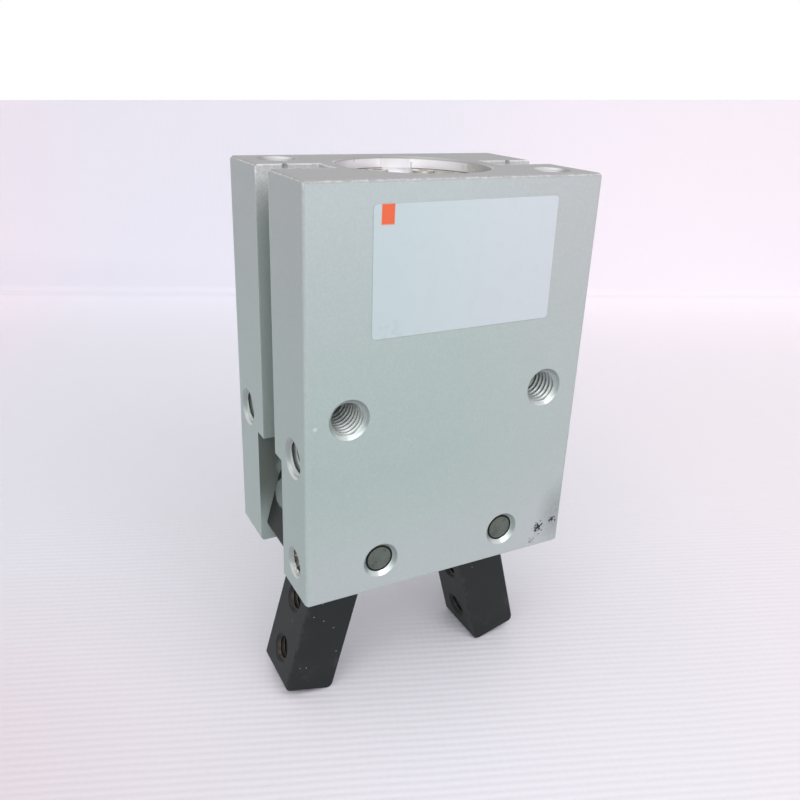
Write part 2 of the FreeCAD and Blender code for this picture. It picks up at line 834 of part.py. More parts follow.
def make_piston_clip():
    """Open clip in the spigot's groove, which holds the piston on the rod."""
    body = new_body("piston_clip")
    inner = clip_groove_radius + dim("groove_play")
    outer = inner + dim("clip_width")
    rim = new_sketch(body, "clip_outline", "XY_Plane", clip_base_z + dim("groove_play"))
    circle(rim, 0, 0, outer)
    circle(rim, 0, 0, inner)
    thickness = dim("clip_thickness") - dim("groove_play") * 2
    pad(body, rim, "clip", thickness)
    mouth = new_sketch(body, "clip_mouth_outline", "XY_Plane", clip_base_z)
    half_mouth = inner * CLIP_MOUTH_SHARE
    rectangle(mouth, 0, outer + OVERCUT, -half_mouth, half_mouth)
    pocket(body, mouth, "clip_mouth", dim("clip_thickness"), reverse=True)
    return body


def make_return_spring():
    """Compression spring between the piston's seat and the cap."""
    body = new_body("return_spring")
    wire_radius = dim("spring_wire") / 2
    start_z = spring_seat_z + wire_radius + dim("spring_end_gap")
    rise = cap_base_z - spring_seat_z - (wire_radius + dim("spring_end_gap")) * 2
    wire = new_sketch(body, "wire_section", "XZ_Plane")
    circle(wire, dim("spring_mean_radius"), start_z, wire_radius)
    coil = body.newObject("PartDesign::AdditiveHelix", "coil")
    coil.Profile = wire
    coil.ReferenceAxis = (wire, ["V_Axis"])
    coil.Mode = "height-turns-angle"
    bind(coil, "Height", rise)
    bind(coil, "Turns", dim("spring_turns"))
    doc.recompute()
    return body


def make_cross_pin(label, x, z, radius, half_length):
    """A plain round pin along Y."""
    pin = doc.addObject("Part::Cylinder", label)
    bind(pin, "Radius", radius)
    bind(pin, "Height", half_length * 2)
    place(pin, x, half_length, z, (1, 0, 0), 90)
    return pin


def make_side_roller(label, side):
    """Roller on one end of the centre pin, in the slot of one finger's arm."""
    body = new_body(label)
    hole_radius = dim("centre_pin_diameter") / 2 + dim("roller_play")
    near_y = arm_inner_y + dim("roller_inset")
    length = half_finger_depth - dim("roller_inset") - near_y
    ends = new_sketch(body, "roller_outline", "XZ_Plane", near_y * -side)
    circle(ends, 0, 0, roller_radius)
    circle(ends, 0, 0, hole_radius)
    pad(body, ends, "roller", length, reverse=side > 0)
    place(body, 0, 0, centre_pin_z)
    return body


def make_finger(label, side):
    """Finger: drilled shank, head round the pivot and a half-thickness arm with an open slot for a roller."""
    body = new_body(label)
    tip = -dim("finger_length")
    head_base = -dim("head_drop")
    inner = -dim("head_inner_reach")
    knee = -dim("head_inner_drop")
    outline = new_sketch(body, "finger_outline", "XZ_Plane")
    profile = [
        (half_finger, tip),
        (half_finger, head_base),
        (dim("head_reach"), head_base),
        (dim("head_reach"), arm_top),
        (inner + dim("head_inner_slope"), arm_top),
        (inner, dim("head_inner_height")),
        (inner, knee),
        (-half_finger, knee - dim("head_inner_toe")),
        (-half_finger, tip),
    ]
    polygon(outline, [(u * side, w) for u, w in profile])
    pad(body, outline, "shank_and_head", half_finger_depth * 2, both_ways=True)

    arm = new_sketch(body, "arm_outline", "XZ_Plane", arm_inner_y * -side)
    rectangle(arm, -dim("arm_tip_reach") * side, 0, arm_base, arm_top)
    pad(body, arm, "arm", half_finger_depth - arm_inner_y, reverse=side > 0)
    slot = new_sketch(body, "slot_outline", "XZ_Plane")
    slot_low = dim("arm_rise") - arm_slot_half
    slot_high = dim("arm_rise") + arm_slot_half
    slot_end = -(dim("arm_tip_reach") + OVERCUT)
    rectangle(slot, slot_end * side, -dim("arm_slot_start") * side, slot_low, slot_high)
    pocket(body, slot, "roller_slot", both_ways=True)

    bore = new_sketch(body, "bore_outline", "XZ_Plane")
    circle(bore, 0, 0, finger_bore_radius)
    pocket(body, bore, "pivot_bore", both_ways=True)
    threads = new_sketch(body, "thread_outline", "YZ_Plane")
    hole_radius = dim("finger_hole_diameter") / 2
    circle(threads, 0, lower_hole_w, hole_radius)
    circle(threads, 0, upper_hole_w, hole_radius)
    pocket(body, threads, "finger_threads", both_ways=True)

    def corner(u, w):
        def test(edge):
            spot = middle(edge)
            return is_straight(edge, 1) and near(spot.x, side * u.value) and near(spot.z, w.value)

        return test

    fillet(body, "head_crown", dim("head_top_round"), corner(dim("head_reach"), arm_top))
    fillet(body, "head_foot", dim("head_foot_round"), corner(dim("head_reach"), head_base))

    def at_tip(edge):
        return is_straight(edge, 1) and near(middle(edge).z, tip.value)

    fillet(body, "tip_corners", dim("finger_tip_round"), at_tip)

    def on_shank_side(edge):
        spot = middle(edge)
        on_face = near(abs(spot.y), half_finger_depth.value)
        return is_straight(edge, 2) and on_face and near(abs(spot.x), half_finger.value)

    chamfer(body, "shank_edges", dim("finger_edge_bevel"), on_shank_side)
    bevel_rims(body, "thread_mouths", dim("finger_hole_bevel"), hole_radius, 0, half_finger)
    place(body, pivot_x * side, 0, pivot_z, (0, 1, 0), dim("open_angle") * -side)
    return body


def make_needles(label, side):
    """Ring of loose needle rollers between a pivot pin and its finger."""
    half_length = half_finger_depth - dim("needle_inset")
    spacing = needle_radius.value * 2 + dim("bearing_play").value * 2
    count = int(2 * math.pi * needle_circle.value / spacing)
    needles = []
    for i in range(count):
        turn = math.radians(360.0 * i / count)
        x = pivot_x * side + needle_circle * math.cos(turn)
        z = pivot_z + needle_circle * math.sin(turn)
        needles.append(make_cross_pin(f"{label}_{i + 1:02d}", x, z, needle_radius, half_length))
    ring = doc.addObject("Part::Compound", label)
    ring.Links = needles
    return ring


def make_lock_screws():
    """Set screws with hexagon sockets that press on the pivot pins, one in each narrow side."""
    screws = []
    for name, side in SIDES.items():
        shank = doc.addObject("Part::Cylinder", f"{name}_lock_shank")
        bind(shank, "Radius", lock_radius - dim("lock_screw_play"))
        bind(shank, "Height", dim("lock_screw_length"))
        start_x = pivot_x + pin_radius + dim("lock_screw_gap")
        place(shank, start_x * side, port_y * side, pivot_z, (0, 1, 0), 90 * side)
        socket = doc.addObject("Part::Prism", f"{name}_lock_socket")
        socket.Polygon = 6
        bind(socket, "Circumradius", dim("lock_socket_flats") / math.sqrt(3.0))
        bind(socket, "Height", dim("lock_socket_depth") + OVERCUT)
        socket_x = start_x + dim("lock_screw_length") - dim("lock_socket_depth")
        place(socket, socket_x * side, port_y * side, pivot_z, (0, 1, 0), 90 * side)
        screw = doc.addObject("Part::Cut", f"{name}_lock_screw")
        screw.Base = shank
        screw.Tool = socket
        screws.append(screw)
    pair = doc.addObject("Part::Compound", "pin_lock_screws")
    pair.Links = screws
    return pair


def make_vent_filter():
    """Porous plug at the bottom of the vent port."""
    plug = doc.addObject("Part::Cylinder", "vent_filter")
    bind(plug, "Radius", mount_radius - dim("filter_play"))
    bind(plug, "Height", dim("filter_thickness"))
    place(plug, dim("port_depth") - half_width - dim("filter_thickness"), port_y, port_z, (0, 1, 0), 90)
    return plug


def make_pieces():
    """Every piece of the gripper, each a document object whose label names its file."""
    pieces = [
        make_body_block(),
        make_cap(),
        make_cap_o_ring(),
        make_retaining_ring(),
        make_rod_seal(),
        make_rod_seal_cover(),
        make_end_bumper(),
        make_piston(),
        make_piston_seal(),
        make_magnet_ring(),
        make_piston_rod(),
        make_piston_clip(),
        make_return_spring(),
        make_lock_screws(),
        make_vent_filter(),
    ]
    centre_half = half_bay - dim("centre_pin_inset")
    pieces.append(make_cross_pin("centre_pin", 0, centre_pin_z, dim("centre_pin_diameter") / 2, centre_half))
    pivot_half = half_depth - dim("pivot_pin_recess")
    for name, side in SIDES.items():
        pieces.append(make_cross_pin(f"{name}_pivot_pin", pivot_x * side, pivot_z, pin_radius, pivot_half))
        pieces.append(make_needles(f"{name}_needle_rollers", side))
        pieces.append(make_finger(f"{name}_finger", side))
        pieces.append(make_side_roller(f"{name}_side_roller", side))
    return pieces


def check(pieces):
    """Stop before anything is written if an object failed or a shape is unsound."""
    doc.recompute()
    for thing in doc.Objects:
        if "Invalid" in thing.State or "Error" in thing.State:
            raise RuntimeError(f"{thing.Label} failed: {thing.State}")
    for piece in pieces:
        if piece.Shape.isNull() or not piece.Shape.isValid():
            raise RuntimeError(f"{piece.Label} has no sound shape")


def write(pieces):
    """One STEP file for each piece."""
    os.makedirs("parts", exist_ok=True)
    for piece in pieces:
        piece.Shape.exportStep(f"parts/{piece.Label}.step")


gripper = make_pieces()
check(gripper)
write(gripper)
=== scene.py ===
"""Scene of the pneumatic angular gripper: finishes, screw threads, sticker, return spring, floor and light.

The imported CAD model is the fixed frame, in metres. Sizes here are written in millimetres and turned into
metres where a mesh or an object is made. The front face looks towards negative Y, and +Z points up out of the
top face.
"""

import math

import bmesh
import bpy
import numpy as np
from mathutils import Matrix, Vector


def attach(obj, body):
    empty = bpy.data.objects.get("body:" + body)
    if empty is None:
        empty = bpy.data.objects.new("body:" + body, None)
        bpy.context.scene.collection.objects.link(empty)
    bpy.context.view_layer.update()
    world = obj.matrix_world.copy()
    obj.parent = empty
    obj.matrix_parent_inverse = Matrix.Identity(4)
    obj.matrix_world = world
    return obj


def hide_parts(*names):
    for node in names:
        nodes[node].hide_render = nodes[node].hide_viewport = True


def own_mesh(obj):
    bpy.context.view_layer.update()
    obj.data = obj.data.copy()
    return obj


MM = 0.001

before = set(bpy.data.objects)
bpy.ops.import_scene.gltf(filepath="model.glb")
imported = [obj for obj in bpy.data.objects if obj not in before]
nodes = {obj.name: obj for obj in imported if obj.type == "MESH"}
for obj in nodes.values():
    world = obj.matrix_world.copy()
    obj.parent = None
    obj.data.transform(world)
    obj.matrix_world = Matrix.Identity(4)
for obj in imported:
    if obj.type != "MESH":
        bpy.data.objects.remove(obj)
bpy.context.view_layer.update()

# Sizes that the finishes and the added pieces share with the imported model
HALF_WIDTH = 21.0
HALF_DEPTH = 13.8
HEIGHT = 55.95
SLOT_HALF = 2.5
SLOT_FLOOR = 12.5
SLOT_END = 37.7
BAY_HALF = 5.0
PILOT_RADIUS = 10.5
GROOVE_RADIUS = 11.2
PIVOT_X = 10.0
PIVOT_Z = -51.15
PORT_Y = 9.4
PORT_Z = -35.4
SIDE_MOUNT_X = 15.0
SIDE_MOUNT_Z = -29.2
TOP_MOUNT_X = 16.0
TOP_MOUNT_Y = 9.0
OPEN_ANGLE = math.radians(15.0)
FINGER_HALF_WIDTH = 4.0
FINGER_HALF_DEPTH = 4.9
FINGER_LENGTH = 28.4
FINGER_HOLES = {"lower": -23.7, "upper": -14.7}
ROLLER_Z = -48.65
SPRING_FOOT = -21.4
SPRING_TOP = -6.7
FLOOR_Z = -79.42
SIDES = {"left": -1, "right": 1}

# Reach of the bare metal round the holes: radius at each kind of mouth, and how deep the mouths and holes go
MOUNT_MOUTH = 2.78
PIN_MOUTH = 2.58
LOCK_MOUTH = 2.24
MOUTH_DEPTH = 0.4
MOUTH_FULL = 0.45
MOUTH_END = 0.75
TOP_MOUNT_END = -10.2
PORT_END = -14.0
RECESS_RIM = 0.24
GROOVE_START = -0.5
BORE_END = 0.5 - SLOT_END

# Slack with which a finish finds a face and a wall, and a half size that no piece reaches
FACE_SLACK = 0.05
WALL_SLACK = 0.03
HOLLOW_SLACK = 0.1
FAR = 99.0


class Wiring:
    """Adds nodes to one tree. An input that is a socket is linked, and any other value is set on the node."""

    def __init__(self, tree):
        self.tree = tree

    def feed(self, socket, value):
        if isinstance(value, bpy.types.NodeSocket):
            self.tree.links.new(value, socket)
        elif isinstance(value, (tuple, list)) and socket.type == "RGBA":
            socket.default_value = (*value[:3], 1.0)
        else:
            socket.default_value = value

    def put(self, kind, settings=None, inputs=None):
        node = self.tree.nodes.new(kind)
        for name, value in (settings or {}).items():
            setattr(node, name, value)
        for name, value in (inputs or {}).items():
            self.feed(node.inputs[name], value)
        return node

    def math(self, operation, first, second=0.0):
        node = self.put("ShaderNodeMath", {"operation": operation}, {0: first, 1: second})
        return node.outputs[0]

    def plus(self, first, second):
        return self.math("ADD", first, second)

    def minus(self, first, second):
        return self.math("SUBTRACT", first, second)

    def times(self, first, second):
        return self.math("MULTIPLY", first, second)

    def over(self, first, second):
        return self.math("DIVIDE", first, second)

    def unsigned(self, value):
        return self.math("ABSOLUTE", value)

    def above(self, value, level):
        """1 where a value is above a level, and 0 elsewhere."""
        return self.math("GREATER_THAN", value, level)

    def below(self, value, level):
        """1 where a value is below a level, and 0 elsewhere."""
        return self.math("LESS_THAN", value, level)

    def vector(self, operation, first, second=None):
        inputs = {0: first} if second is None else {0: first, 1: second}
        node = self.put("ShaderNodeVectorMath", {"operation": operation}, inputs)
        return node.outputs["Value" if operation in ("LENGTH", "DISTANCE", "DOT_PRODUCT") else "Vector"]

    def split(self, vector):
        return self.put("ShaderNodeSeparateXYZ", inputs={0: vector}).outputs

    def join(self, x, y, z):
        return self.put("ShaderNodeCombineXYZ", inputs={0: x, 1: y, 2: z}).outputs[0]

    def ramp(self, value, low, high, out_low=0.0, out_high=1.0):
        """Smooth step from one value to another."""
        node = self.put("ShaderNodeMapRange", {"interpolation_type": "SMOOTHSTEP"},
                        {0: value, 1: low, 2: high, 3: out_low, 4: out_high})
        return node.outputs[0]

    def noise(self, position, scale, detail=2.0, roughness=0.5, distortion=0.0):
        node = self.put("ShaderNodeTexNoise", inputs={
            "Vector": position, "Scale": scale, "Detail": detail, "Roughness": roughness,
            "Distortion": distortion})
        return node.outputs[0]

    def mix(self, share, first, second):
        """Colour between two colours."""
        node = self.put("ShaderNodeMix", {"data_type": "RGBA"}, {0: share, 6: first, 7: second})
        return node.outputs[2]

    def blend(self, share, first, second):
        """Number between two numbers."""
        node = self.put("ShaderNodeMix", {"data_type": "FLOAT"}, {0: share, 2: first, 3: second})
        return node.outputs[0]

    def most(self, *masks):
        """The largest of several masks."""
        result = masks[0]
        for mask in masks[1:]:
            result = self.math("MAXIMUM", result, mask)
        return result

    def group(self, tree, inputs):
        node = self.put("ShaderNodeGroup", {"node_tree": tree}, inputs)
        return node.outputs


def new_group(name, inputs, outputs):
    """An empty shader node group with named sockets: its wiring, its input sockets and its output node."""
    tree = bpy.data.node_groups.new(name, "ShaderNodeTree")
    for label, kind, value in inputs:
        socket = tree.interface.new_socket(name=label, in_out="INPUT", socket_type=kind)
        if value is not None:
            socket.default_value = value
    for label in outputs:
        tree.interface.new_socket(name=label, in_out="OUTPUT", socket_type="NodeSocketFloat")
    wiring = Wiring(tree)
    start = wiring.put("NodeGroupInput")
    end = wiring.put("NodeGroupOutput")
    return wiring, start.outputs, end


THREAD_ROOT = "thread_root"
FLOAT = "NodeSocketFloat"
VECTOR = "NodeSocketVector"


def make_edge_wear():
    """Wear along a box's edges: it falls off with the second smallest of the distances to the box's planes.

    Beyond the box itself it ends within the same reach.
    """
    wiring, given, end = new_group("edge_wear", [
        ("Position", VECTOR, None), ("Half Size", VECTOR, None), ("Reach", FLOAT, 0.3), ("Rag", FLOAT, 0.6),
        ("Rag Scale", FLOAT, 1.5)], ["Wear"])
    folded = wiring.vector("ABSOLUTE", given["Position"])
    gap = wiring.vector("ABSOLUTE", wiring.vector("SUBTRACT", given["Half Size"], folded))
    x, y, z = wiring.split(gap)
    nearer = wiring.math("MINIMUM", x, y)
    farther = wiring.most(x, y)
    middle = wiring.most(nearer, wiring.math("MINIMUM", farther, z))
    ragged = wiring.noise(given["Position"], given["Rag Scale"], 3.0, 0.6)
    share = wiring.minus(1.0, wiring.times(ragged, given["Rag"]))
    reach = wiring.times(given["Reach"], share)
    wear = wiring.ramp(wiring.over(middle, reach), 0.25, 1.0, 1.0, 0.0)
    out_x, out_y, out_z = wiring.split(wiring.vector("SUBTRACT", folded, given["Half Size"]))
    outside = wiring.over(wiring.most(out_x, out_y, out_z), given["Reach"])
    wear = wiring.times(wear, wiring.ramp(outside, 0.3, 1.0, 1.0, 0.0))
    wiring.feed(end.inputs["Wear"], wear)
    return wiring.tree


def make_grain():
    """Blasted or cast grain: fine noise for height, and a slow cloud."""
    wiring, given, end = new_group("grain", [
        ("Position", VECTOR, None), ("Fineness", FLOAT, 6.0), ("Cloud Scale", FLOAT, 0.06)],
        ["Height", "Cloud"])
    wiring.feed(end.inputs["Height"], wiring.noise(given["Position"], given["Fineness"], 2.0, 0.6))
    wiring.feed(end.inputs["Cloud"], wiring.noise(given["Position"], given["Cloud Scale"], 3.0, 0.55))
    return wiring.tree


def make_turned_rings():
    """Tool marks round the Z axis of the given position: a wave of the radius, a little uneven."""
    wiring, given, end = new_group("turned_rings", [
        ("Position", VECTOR, None), ("Pitch", FLOAT, 0.25), ("Drift", FLOAT, 0.6)], ["Height"])
    x, y, _ = wiring.split(given["Position"])
    radius = wiring.vector("LENGTH", wiring.join(x, y, 0.0))
    wander = wiring.times(wiring.noise(given["Position"], 0.5, 2.0), given["Drift"])
    phase = wiring.times(wiring.over(wiring.plus(radius, wander), given["Pitch"]), math.tau)
    wave = wiring.math("MULTIPLY_ADD", wiring.math("SINE", phase), 0.5)
    wave.node.inputs[2].default_value = 0.5
    wiring.feed(end.inputs["Height"], wave)
    return wiring.tree


def make_specks():
    """Scattered dots: cells of a Voronoi pattern whose own random number is low enough, out to a radius."""
    wiring, given, end = new_group("specks", [
        ("Position", VECTOR, None), ("Density", FLOAT, 0.4), ("Share", FLOAT, 0.2), ("Radius", FLOAT, 0.08)],
        ["Mask"])
    cells = wiring.put("ShaderNodeTexVoronoi", inputs={
        "Vector": given["Position"], "Scale": given["Density"]})
    pick = wiring.split(cells.outputs["Color"])
    chosen = wiring.below(pick[0], given["Share"])
    size = wiring.times(wiring.times(given["Radius"], given["Density"]), pick[1])
    dot = wiring.below(cells.outputs["Distance"], size)
    wiring.feed(end.inputs["Mask"], wiring.times(chosen, dot))
    return wiring.tree


def make_grime():
    """Dirt in patches: cloudy noise above a level that falls as the cover rises."""
    wiring, given, end = new_group("grime", [
        ("Position", VECTOR, None), ("Patch Scale", FLOAT, 0.3), ("Cover", FLOAT, 0.3)], ["Mask"])
    cloud = wiring.noise(given["Position"], given["Patch Scale"], 6.0, 0.65, 0.4)
    level = wiring.minus(0.72, wiring.times(given["Cover"], 0.45))
    depth = wiring.minus(cloud, level)
    wiring.feed(end.inputs["Mask"], wiring.ramp(depth, 0.0, 0.16))
    return wiring.tree


EDGE_WEAR = make_edge_wear()
GRAIN = make_grain()
TURNED_RINGS = make_turned_rings()
SPECKS = make_specks()
GRIME = make_grime()


def edge_wear_at(wiring, at, half_size, reach, rag, rag_scale=1.5):
    """Edge wear of a box round the given position's origin."""
    return wiring.group(EDGE_WEAR, {
        "Position": at, "Half Size": half_size, "Reach": reach, "Rag": rag, "Rag Scale": rag_scale})[0]


def grain_at(wiring, at, fineness, cloud_scale):
    """Grain, as a height and a cloud."""
    return wiring.group(GRAIN, {"Position": at, "Fineness": fineness, "Cloud Scale": cloud_scale})


def specks_at(wiring, at, density, share, radius):
    """Mask of scattered dots."""
    return wiring.group(SPECKS, {"Position": at, "Density": density, "Share": share, "Radius": radius})[0]


def grime_at(wiring, at, patch_scale, cover):
    """Mask of patchy dirt."""
    return wiring.group(GRIME, {"Position": at, "Patch Scale": patch_scale, "Cover": cover})[0]


def new_finish(name, **plain):
    """A material with one Principled shader, its wiring and the shader, which takes the plain values."""
    material = bpy.data.materials.new(name)
    material.use_nodes = True
    tree = material.node_tree
    tree.nodes.clear()
    wiring = Wiring(tree)
    shader = wiring.put("ShaderNodeBsdfPrincipled")
    for label, value in plain.items():
        wiring.feed(shader.inputs[label.replace("_", " ")], value)
    sheet = wiring.put("ShaderNodeOutputMaterial")
    tree.links.new(shader.outputs[0], sheet.inputs[0])
    return material, wiring, shader


def own_position(wiring, centre=(0.0, 0.0, 0.0), turn=(0.0, 0.0, 0.0)):
    """Object coordinates in millimetres from a centre, turned: rotation times (point minus centre)."""
    rotation = Matrix.Identity(3)
    for axis, angle in zip("XYZ", turn):
        rotation = Matrix.Rotation(angle, 3, axis) @ rotation
    shift = rotation @ Vector(centre)
    coordinates = wiring.put("ShaderNodeTexCoord").outputs["Object"]
    node = wiring.put("ShaderNodeMapping", inputs={
        "Vector": coordinates, "Location": tuple(-shift), "Rotation": tuple(turn), "Scale": (1 / MM,) * 3})
    return node.outputs[0]


def set_look(wiring, shader, colour, height, depth, rough=None, metal=None):
    """Feeds a shader its colour, relief of so many millimetres and, where they vary, roughness and metal."""
    node = wiring.put("ShaderNodeBump", inputs={"Strength": 1.0, "Distance": depth * MM, "Height": height})
    looks = {"Base Color": colour, "Normal": node.outputs[0], "Roughness": rough, "Metallic": metal}
    for label, value in looks.items():
        if value is not None:
            wiring.feed(shader.inputs[label], value)


def bored(wiring, across, along, radius):
    """Mask of what lies within a radius of a hole's axis, from the two offsets across that axis."""
    distance = wiring.vector("LENGTH", wiring.join(across, along, 0.0))
    soft_in = 0.02
    soft_out = 0.04
    return wiring.ramp(distance, radius - soft_in, radius + soft_out, 1.0, 0.0)


def near_plane(wiring, coordinate, level, reach):
    """Mask of what lies within a reach of a plane, soft over the last fifth of it."""
    gap = wiring.unsigned(wiring.minus(coordinate, level))
    return wiring.ramp(gap, reach * 0.8, reach, 1.0, 0.0)


def spot_distance(wiring, first, second, centre, reach):
    """Distance from a spot's centre in two coordinates, counted in the spot's own reach."""
    across_spot = wiring.over(wiring.minus(first, centre[0]), reach[0])
    along_spot = wiring.over(wiring.minus(second, centre[1]), reach[1])
    return wiring.vector("LENGTH", wiring.join(across_spot, along_spot, 0.0))


# Tones of the top face and of countersinks, with painted highlight and shade on the countersinks, and the way
# that the highlit side of the top's countersinks looks
# The top face's grey, less green tone is a painted reflection of the pale backdrop seen at a grazing angle
TOP_REFLECTED_TONE = (0.312, 0.308, 0.315)
WALL_MOUTH_SHADED = (0.35, 0.41, 0.395)
WALL_MOUTH_HIGHLIT = (0.55, 0.60, 0.59)
TOP_MOUTH_HIGHLIT = (0.58, 0.58, 0.59)
TOP_HIGHLIGHT_FACING = (-0.45, -0.89, 0.0)


def countersink_lit_tones(wiring):
    """Where countersinks look up, and the tones of their bare metal in the upright walls and in the top.

    Those in the walls have a painted highlight where they look up and painted shade elsewhere, and those in
    the top a painted highlight where they look to the front left.
    """
    normal = wiring.put("ShaderNodeTexCoord").outputs["Normal"]
    upward = wiring.ramp(wiring.split(normal)[2], 0.15, 0.68)
    lit_in_walls = wiring.mix(upward, WALL_MOUTH_SHADED, WALL_MOUTH_HIGHLIT)
    forward = wiring.ramp(wiring.vector("DOT_PRODUCT", normal, TOP_HIGHLIGHT_FACING), 0.35, 0.66)
    lit_in_top = wiring.mix(forward, TOP_REFLECTED_TONE, TOP_MOUTH_HIGHLIT)
    return upward, lit_in_walls, lit_in_top


def machined_places(wiring, x, y, z):
    """Masks of what was cut after blasting: through holes, holes in the sides and top, and the top recess.

    The through holes are the front screw holes, outside the switch slots that they cross, and the pin holes.
    """
    side_x = wiring.unsigned(x)
    diagonal = wiring.times(wiring.math("SIGN", x), y)
    from_side_mount = wiring.minus(side_x, SIDE_MOUNT_X)
    front = bored(wiring, from_side_mount, wiring.minus(z, SIDE_MOUNT_Z), MOUNT_MOUTH)
    side_y = wiring.unsigned(y)
    front = wiring.times(front, wiring.above(side_y, SLOT_HALF + FACE_SLACK))
    above_pivot = wiring.minus(z, PIVOT_Z)
    pivots = bored(wiring, wiring.minus(side_x, PIVOT_X), above_pivot, PIN_MOUTH)
    locks = bored(wiring, wiring.minus(diagonal, PORT_Y), above_pivot, LOCK_MOUTH)
    from_top_mount = wiring.minus(side_x, TOP_MOUNT_X)
    top = bored(wiring, from_top_mount, wiring.plus(diagonal, TOP_MOUNT_Y), MOUNT_MOUTH)
    top = wiring.times(top, wiring.above(z, TOP_MOUNT_END))
    from_port = wiring.minus(side_y, PORT_Y)
    ports = bored(wiring, from_port, wiring.minus(z, PORT_Z), MOUNT_MOUTH)
    ports = wiring.times(ports, wiring.below(x, PORT_END))
    groove = wiring.times(bored(wiring, x, y, GROOVE_RADIUS), wiring.below(z, GROOVE_START))
    recess = wiring.most(bored(wiring, x, y, PILOT_RADIUS + RECESS_RIM), groove)
    recess = wiring.times(recess, wiring.above(z, BORE_END))
    return wiring.most(front, pivots), wiring.most(locks, ports, top), recess


# Marks on the front face: centre, reach and strength of each smudge, and those of a haze and a chip
FRONT_SMUDGES = (
    ((16.85, -52.65), (1.1, 1.2), 1.0),
    ((19.45, -51.85), (0.85, 0.7), 1.0),
    ((15.9, -54.7), (0.7, 0.9), 0.4),
)
FRONT_HAZE = ((20.4, -50.8), (4.8, 7.2))
FRONT_CHIP = ((-19.63, -29.66), (0.4, 0.36))


def front_stains(wiring, at, x, y, z):
    """Smudges low on the right of the front face, a haze round them, and a few dark pinpricks all over."""
    blot = wiring.noise(at, 1.3, 5.0, 0.7)
    flecks = wiring.noise(at, 2.4, 4.0, 0.65)
    marks = []
    for centre, reach, strength in FRONT_SMUDGES:
        away = spot_distance(wiring, x, z, centre, reach)
        level = wiring.minus(flecks, wiring.times(away, 0.2))
        marks.append(wiring.times(wiring.ramp(level, 0.385, 0.43), strength))
    away = spot_distance(wiring, x, z, *FRONT_HAZE)
    marks.append(wiring.times(wiring.ramp(away, 0.15, 1.0, 1.0, 0.0), wiring.blend(blot, 0.06, 0.5)))
    on_front = wiring.below(y, FACE_SLACK - HALF_DEPTH)
    stain = wiring.times(wiring.most(*marks), on_front)
    pricks = specks_at(wiring, at, density=0.11, share=0.35, radius=0.2)
    return wiring.most(stain, wiring.times(pricks, 0.45))


# Tones of the front face: a random cloud between dark and light, and painted reflections of the surroundings
# that are paler and bluish at the top and greyer to the right and at the foot
FRONT_DARK = (0.345, 0.45, 0.42)
FRONT_LIGHT = (0.375, 0.46, 0.44)
FRONT_RIGHT_REFLECTION = (0.43, 0.47, 0.465)
FRONT_UPPER_LEFT_REFLECTION = (0.405, 0.47, 0.475)
FRONT_UPPER_RIGHT_REFLECTION = (0.415, 0.447, 0.453)
FRONT_FOOT_REFLECTION = (0.45, 0.485, 0.495)


def front_tone_and_reflection(wiring, x, z, cloud):
    """Slow change of shade over the front face, painted as a reflection of the surroundings.

    It is bluish and paler at the top, greenest past the middle, and greyer low down and to the right.
    """
    shade = wiring.mix(cloud, FRONT_DARK, FRONT_LIGHT)
    shade = wiring.mix(wiring.ramp(x, -2.0, 20.0, 0.0, 0.6), shade, FRONT_RIGHT_REFLECTION)
    upper = wiring.mix(wiring.ramp(x, -5.0, 16.0), FRONT_UPPER_LEFT_REFLECTION, FRONT_UPPER_RIGHT_REFLECTION)
    shade = wiring.mix(wiring.ramp(z, -33.0, -1.0), shade, upper)
    return wiring.mix(wiring.ramp(z, -36.0, -55.0, 0.0, 0.7), shade, FRONT_FOOT_REFLECTION)


# Marks on the recess's wall: place, top, foot and strength of each streak, a patch, and a greyer band of
# painted shade
RECESS_STREAKS = ((-4.25, -0.1, -0.65, 0.35), (0.44, -0.05, -1.7, 0.28), (4.78, -0.7, -1.7, 0.45))
STREAK_HALF_WIDTH = 0.13
RECESS_PATCH = ((1.8, -0.8), (2.6, 1.0))
PATCH_START = 6.0
RECESS_SHADE_BAND = (2.61, 2.2)


def recess_streaks(wiring, x, y, z):
    """Mask of thin dark streaks on the back of the recess's wall and a mottled patch at its right end."""
    behind = wiring.above(y, 0.0)
    streaks = []
    for place, top, foot, strength in RECESS_STREAKS:
        line = near_plane(wiring, x, place, STREAK_HALF_WIDTH)
        span = near_plane(wiring, z, (top + foot) / 2, (top - foot) / 2)
        streaks.append(wiring.times(wiring.times(line, span), strength))
    across_wall = wiring.times(wiring.most(*streaks), behind)
    away = spot_distance(wiring, y, z, *RECESS_PATCH)
    mottle = wiring.ramp(wiring.noise(wiring.join(x, y, z), 1.6, 4.0, 0.7), 0.42, 0.62)
    patch = wiring.times(wiring.ramp(away, 0.2, 1.0, 0.3, 0.0), mottle)
    patch = wiring.times(patch, wiring.above(x, PATCH_START))
    return wiring.most(across_wall, patch)


# Painted pool of light on the bay's wall, where the painted shade is thinner: centre and reach
BAY_LIGHT_PATCH = ((-17.2, -43.9), (1.2, 1.5))


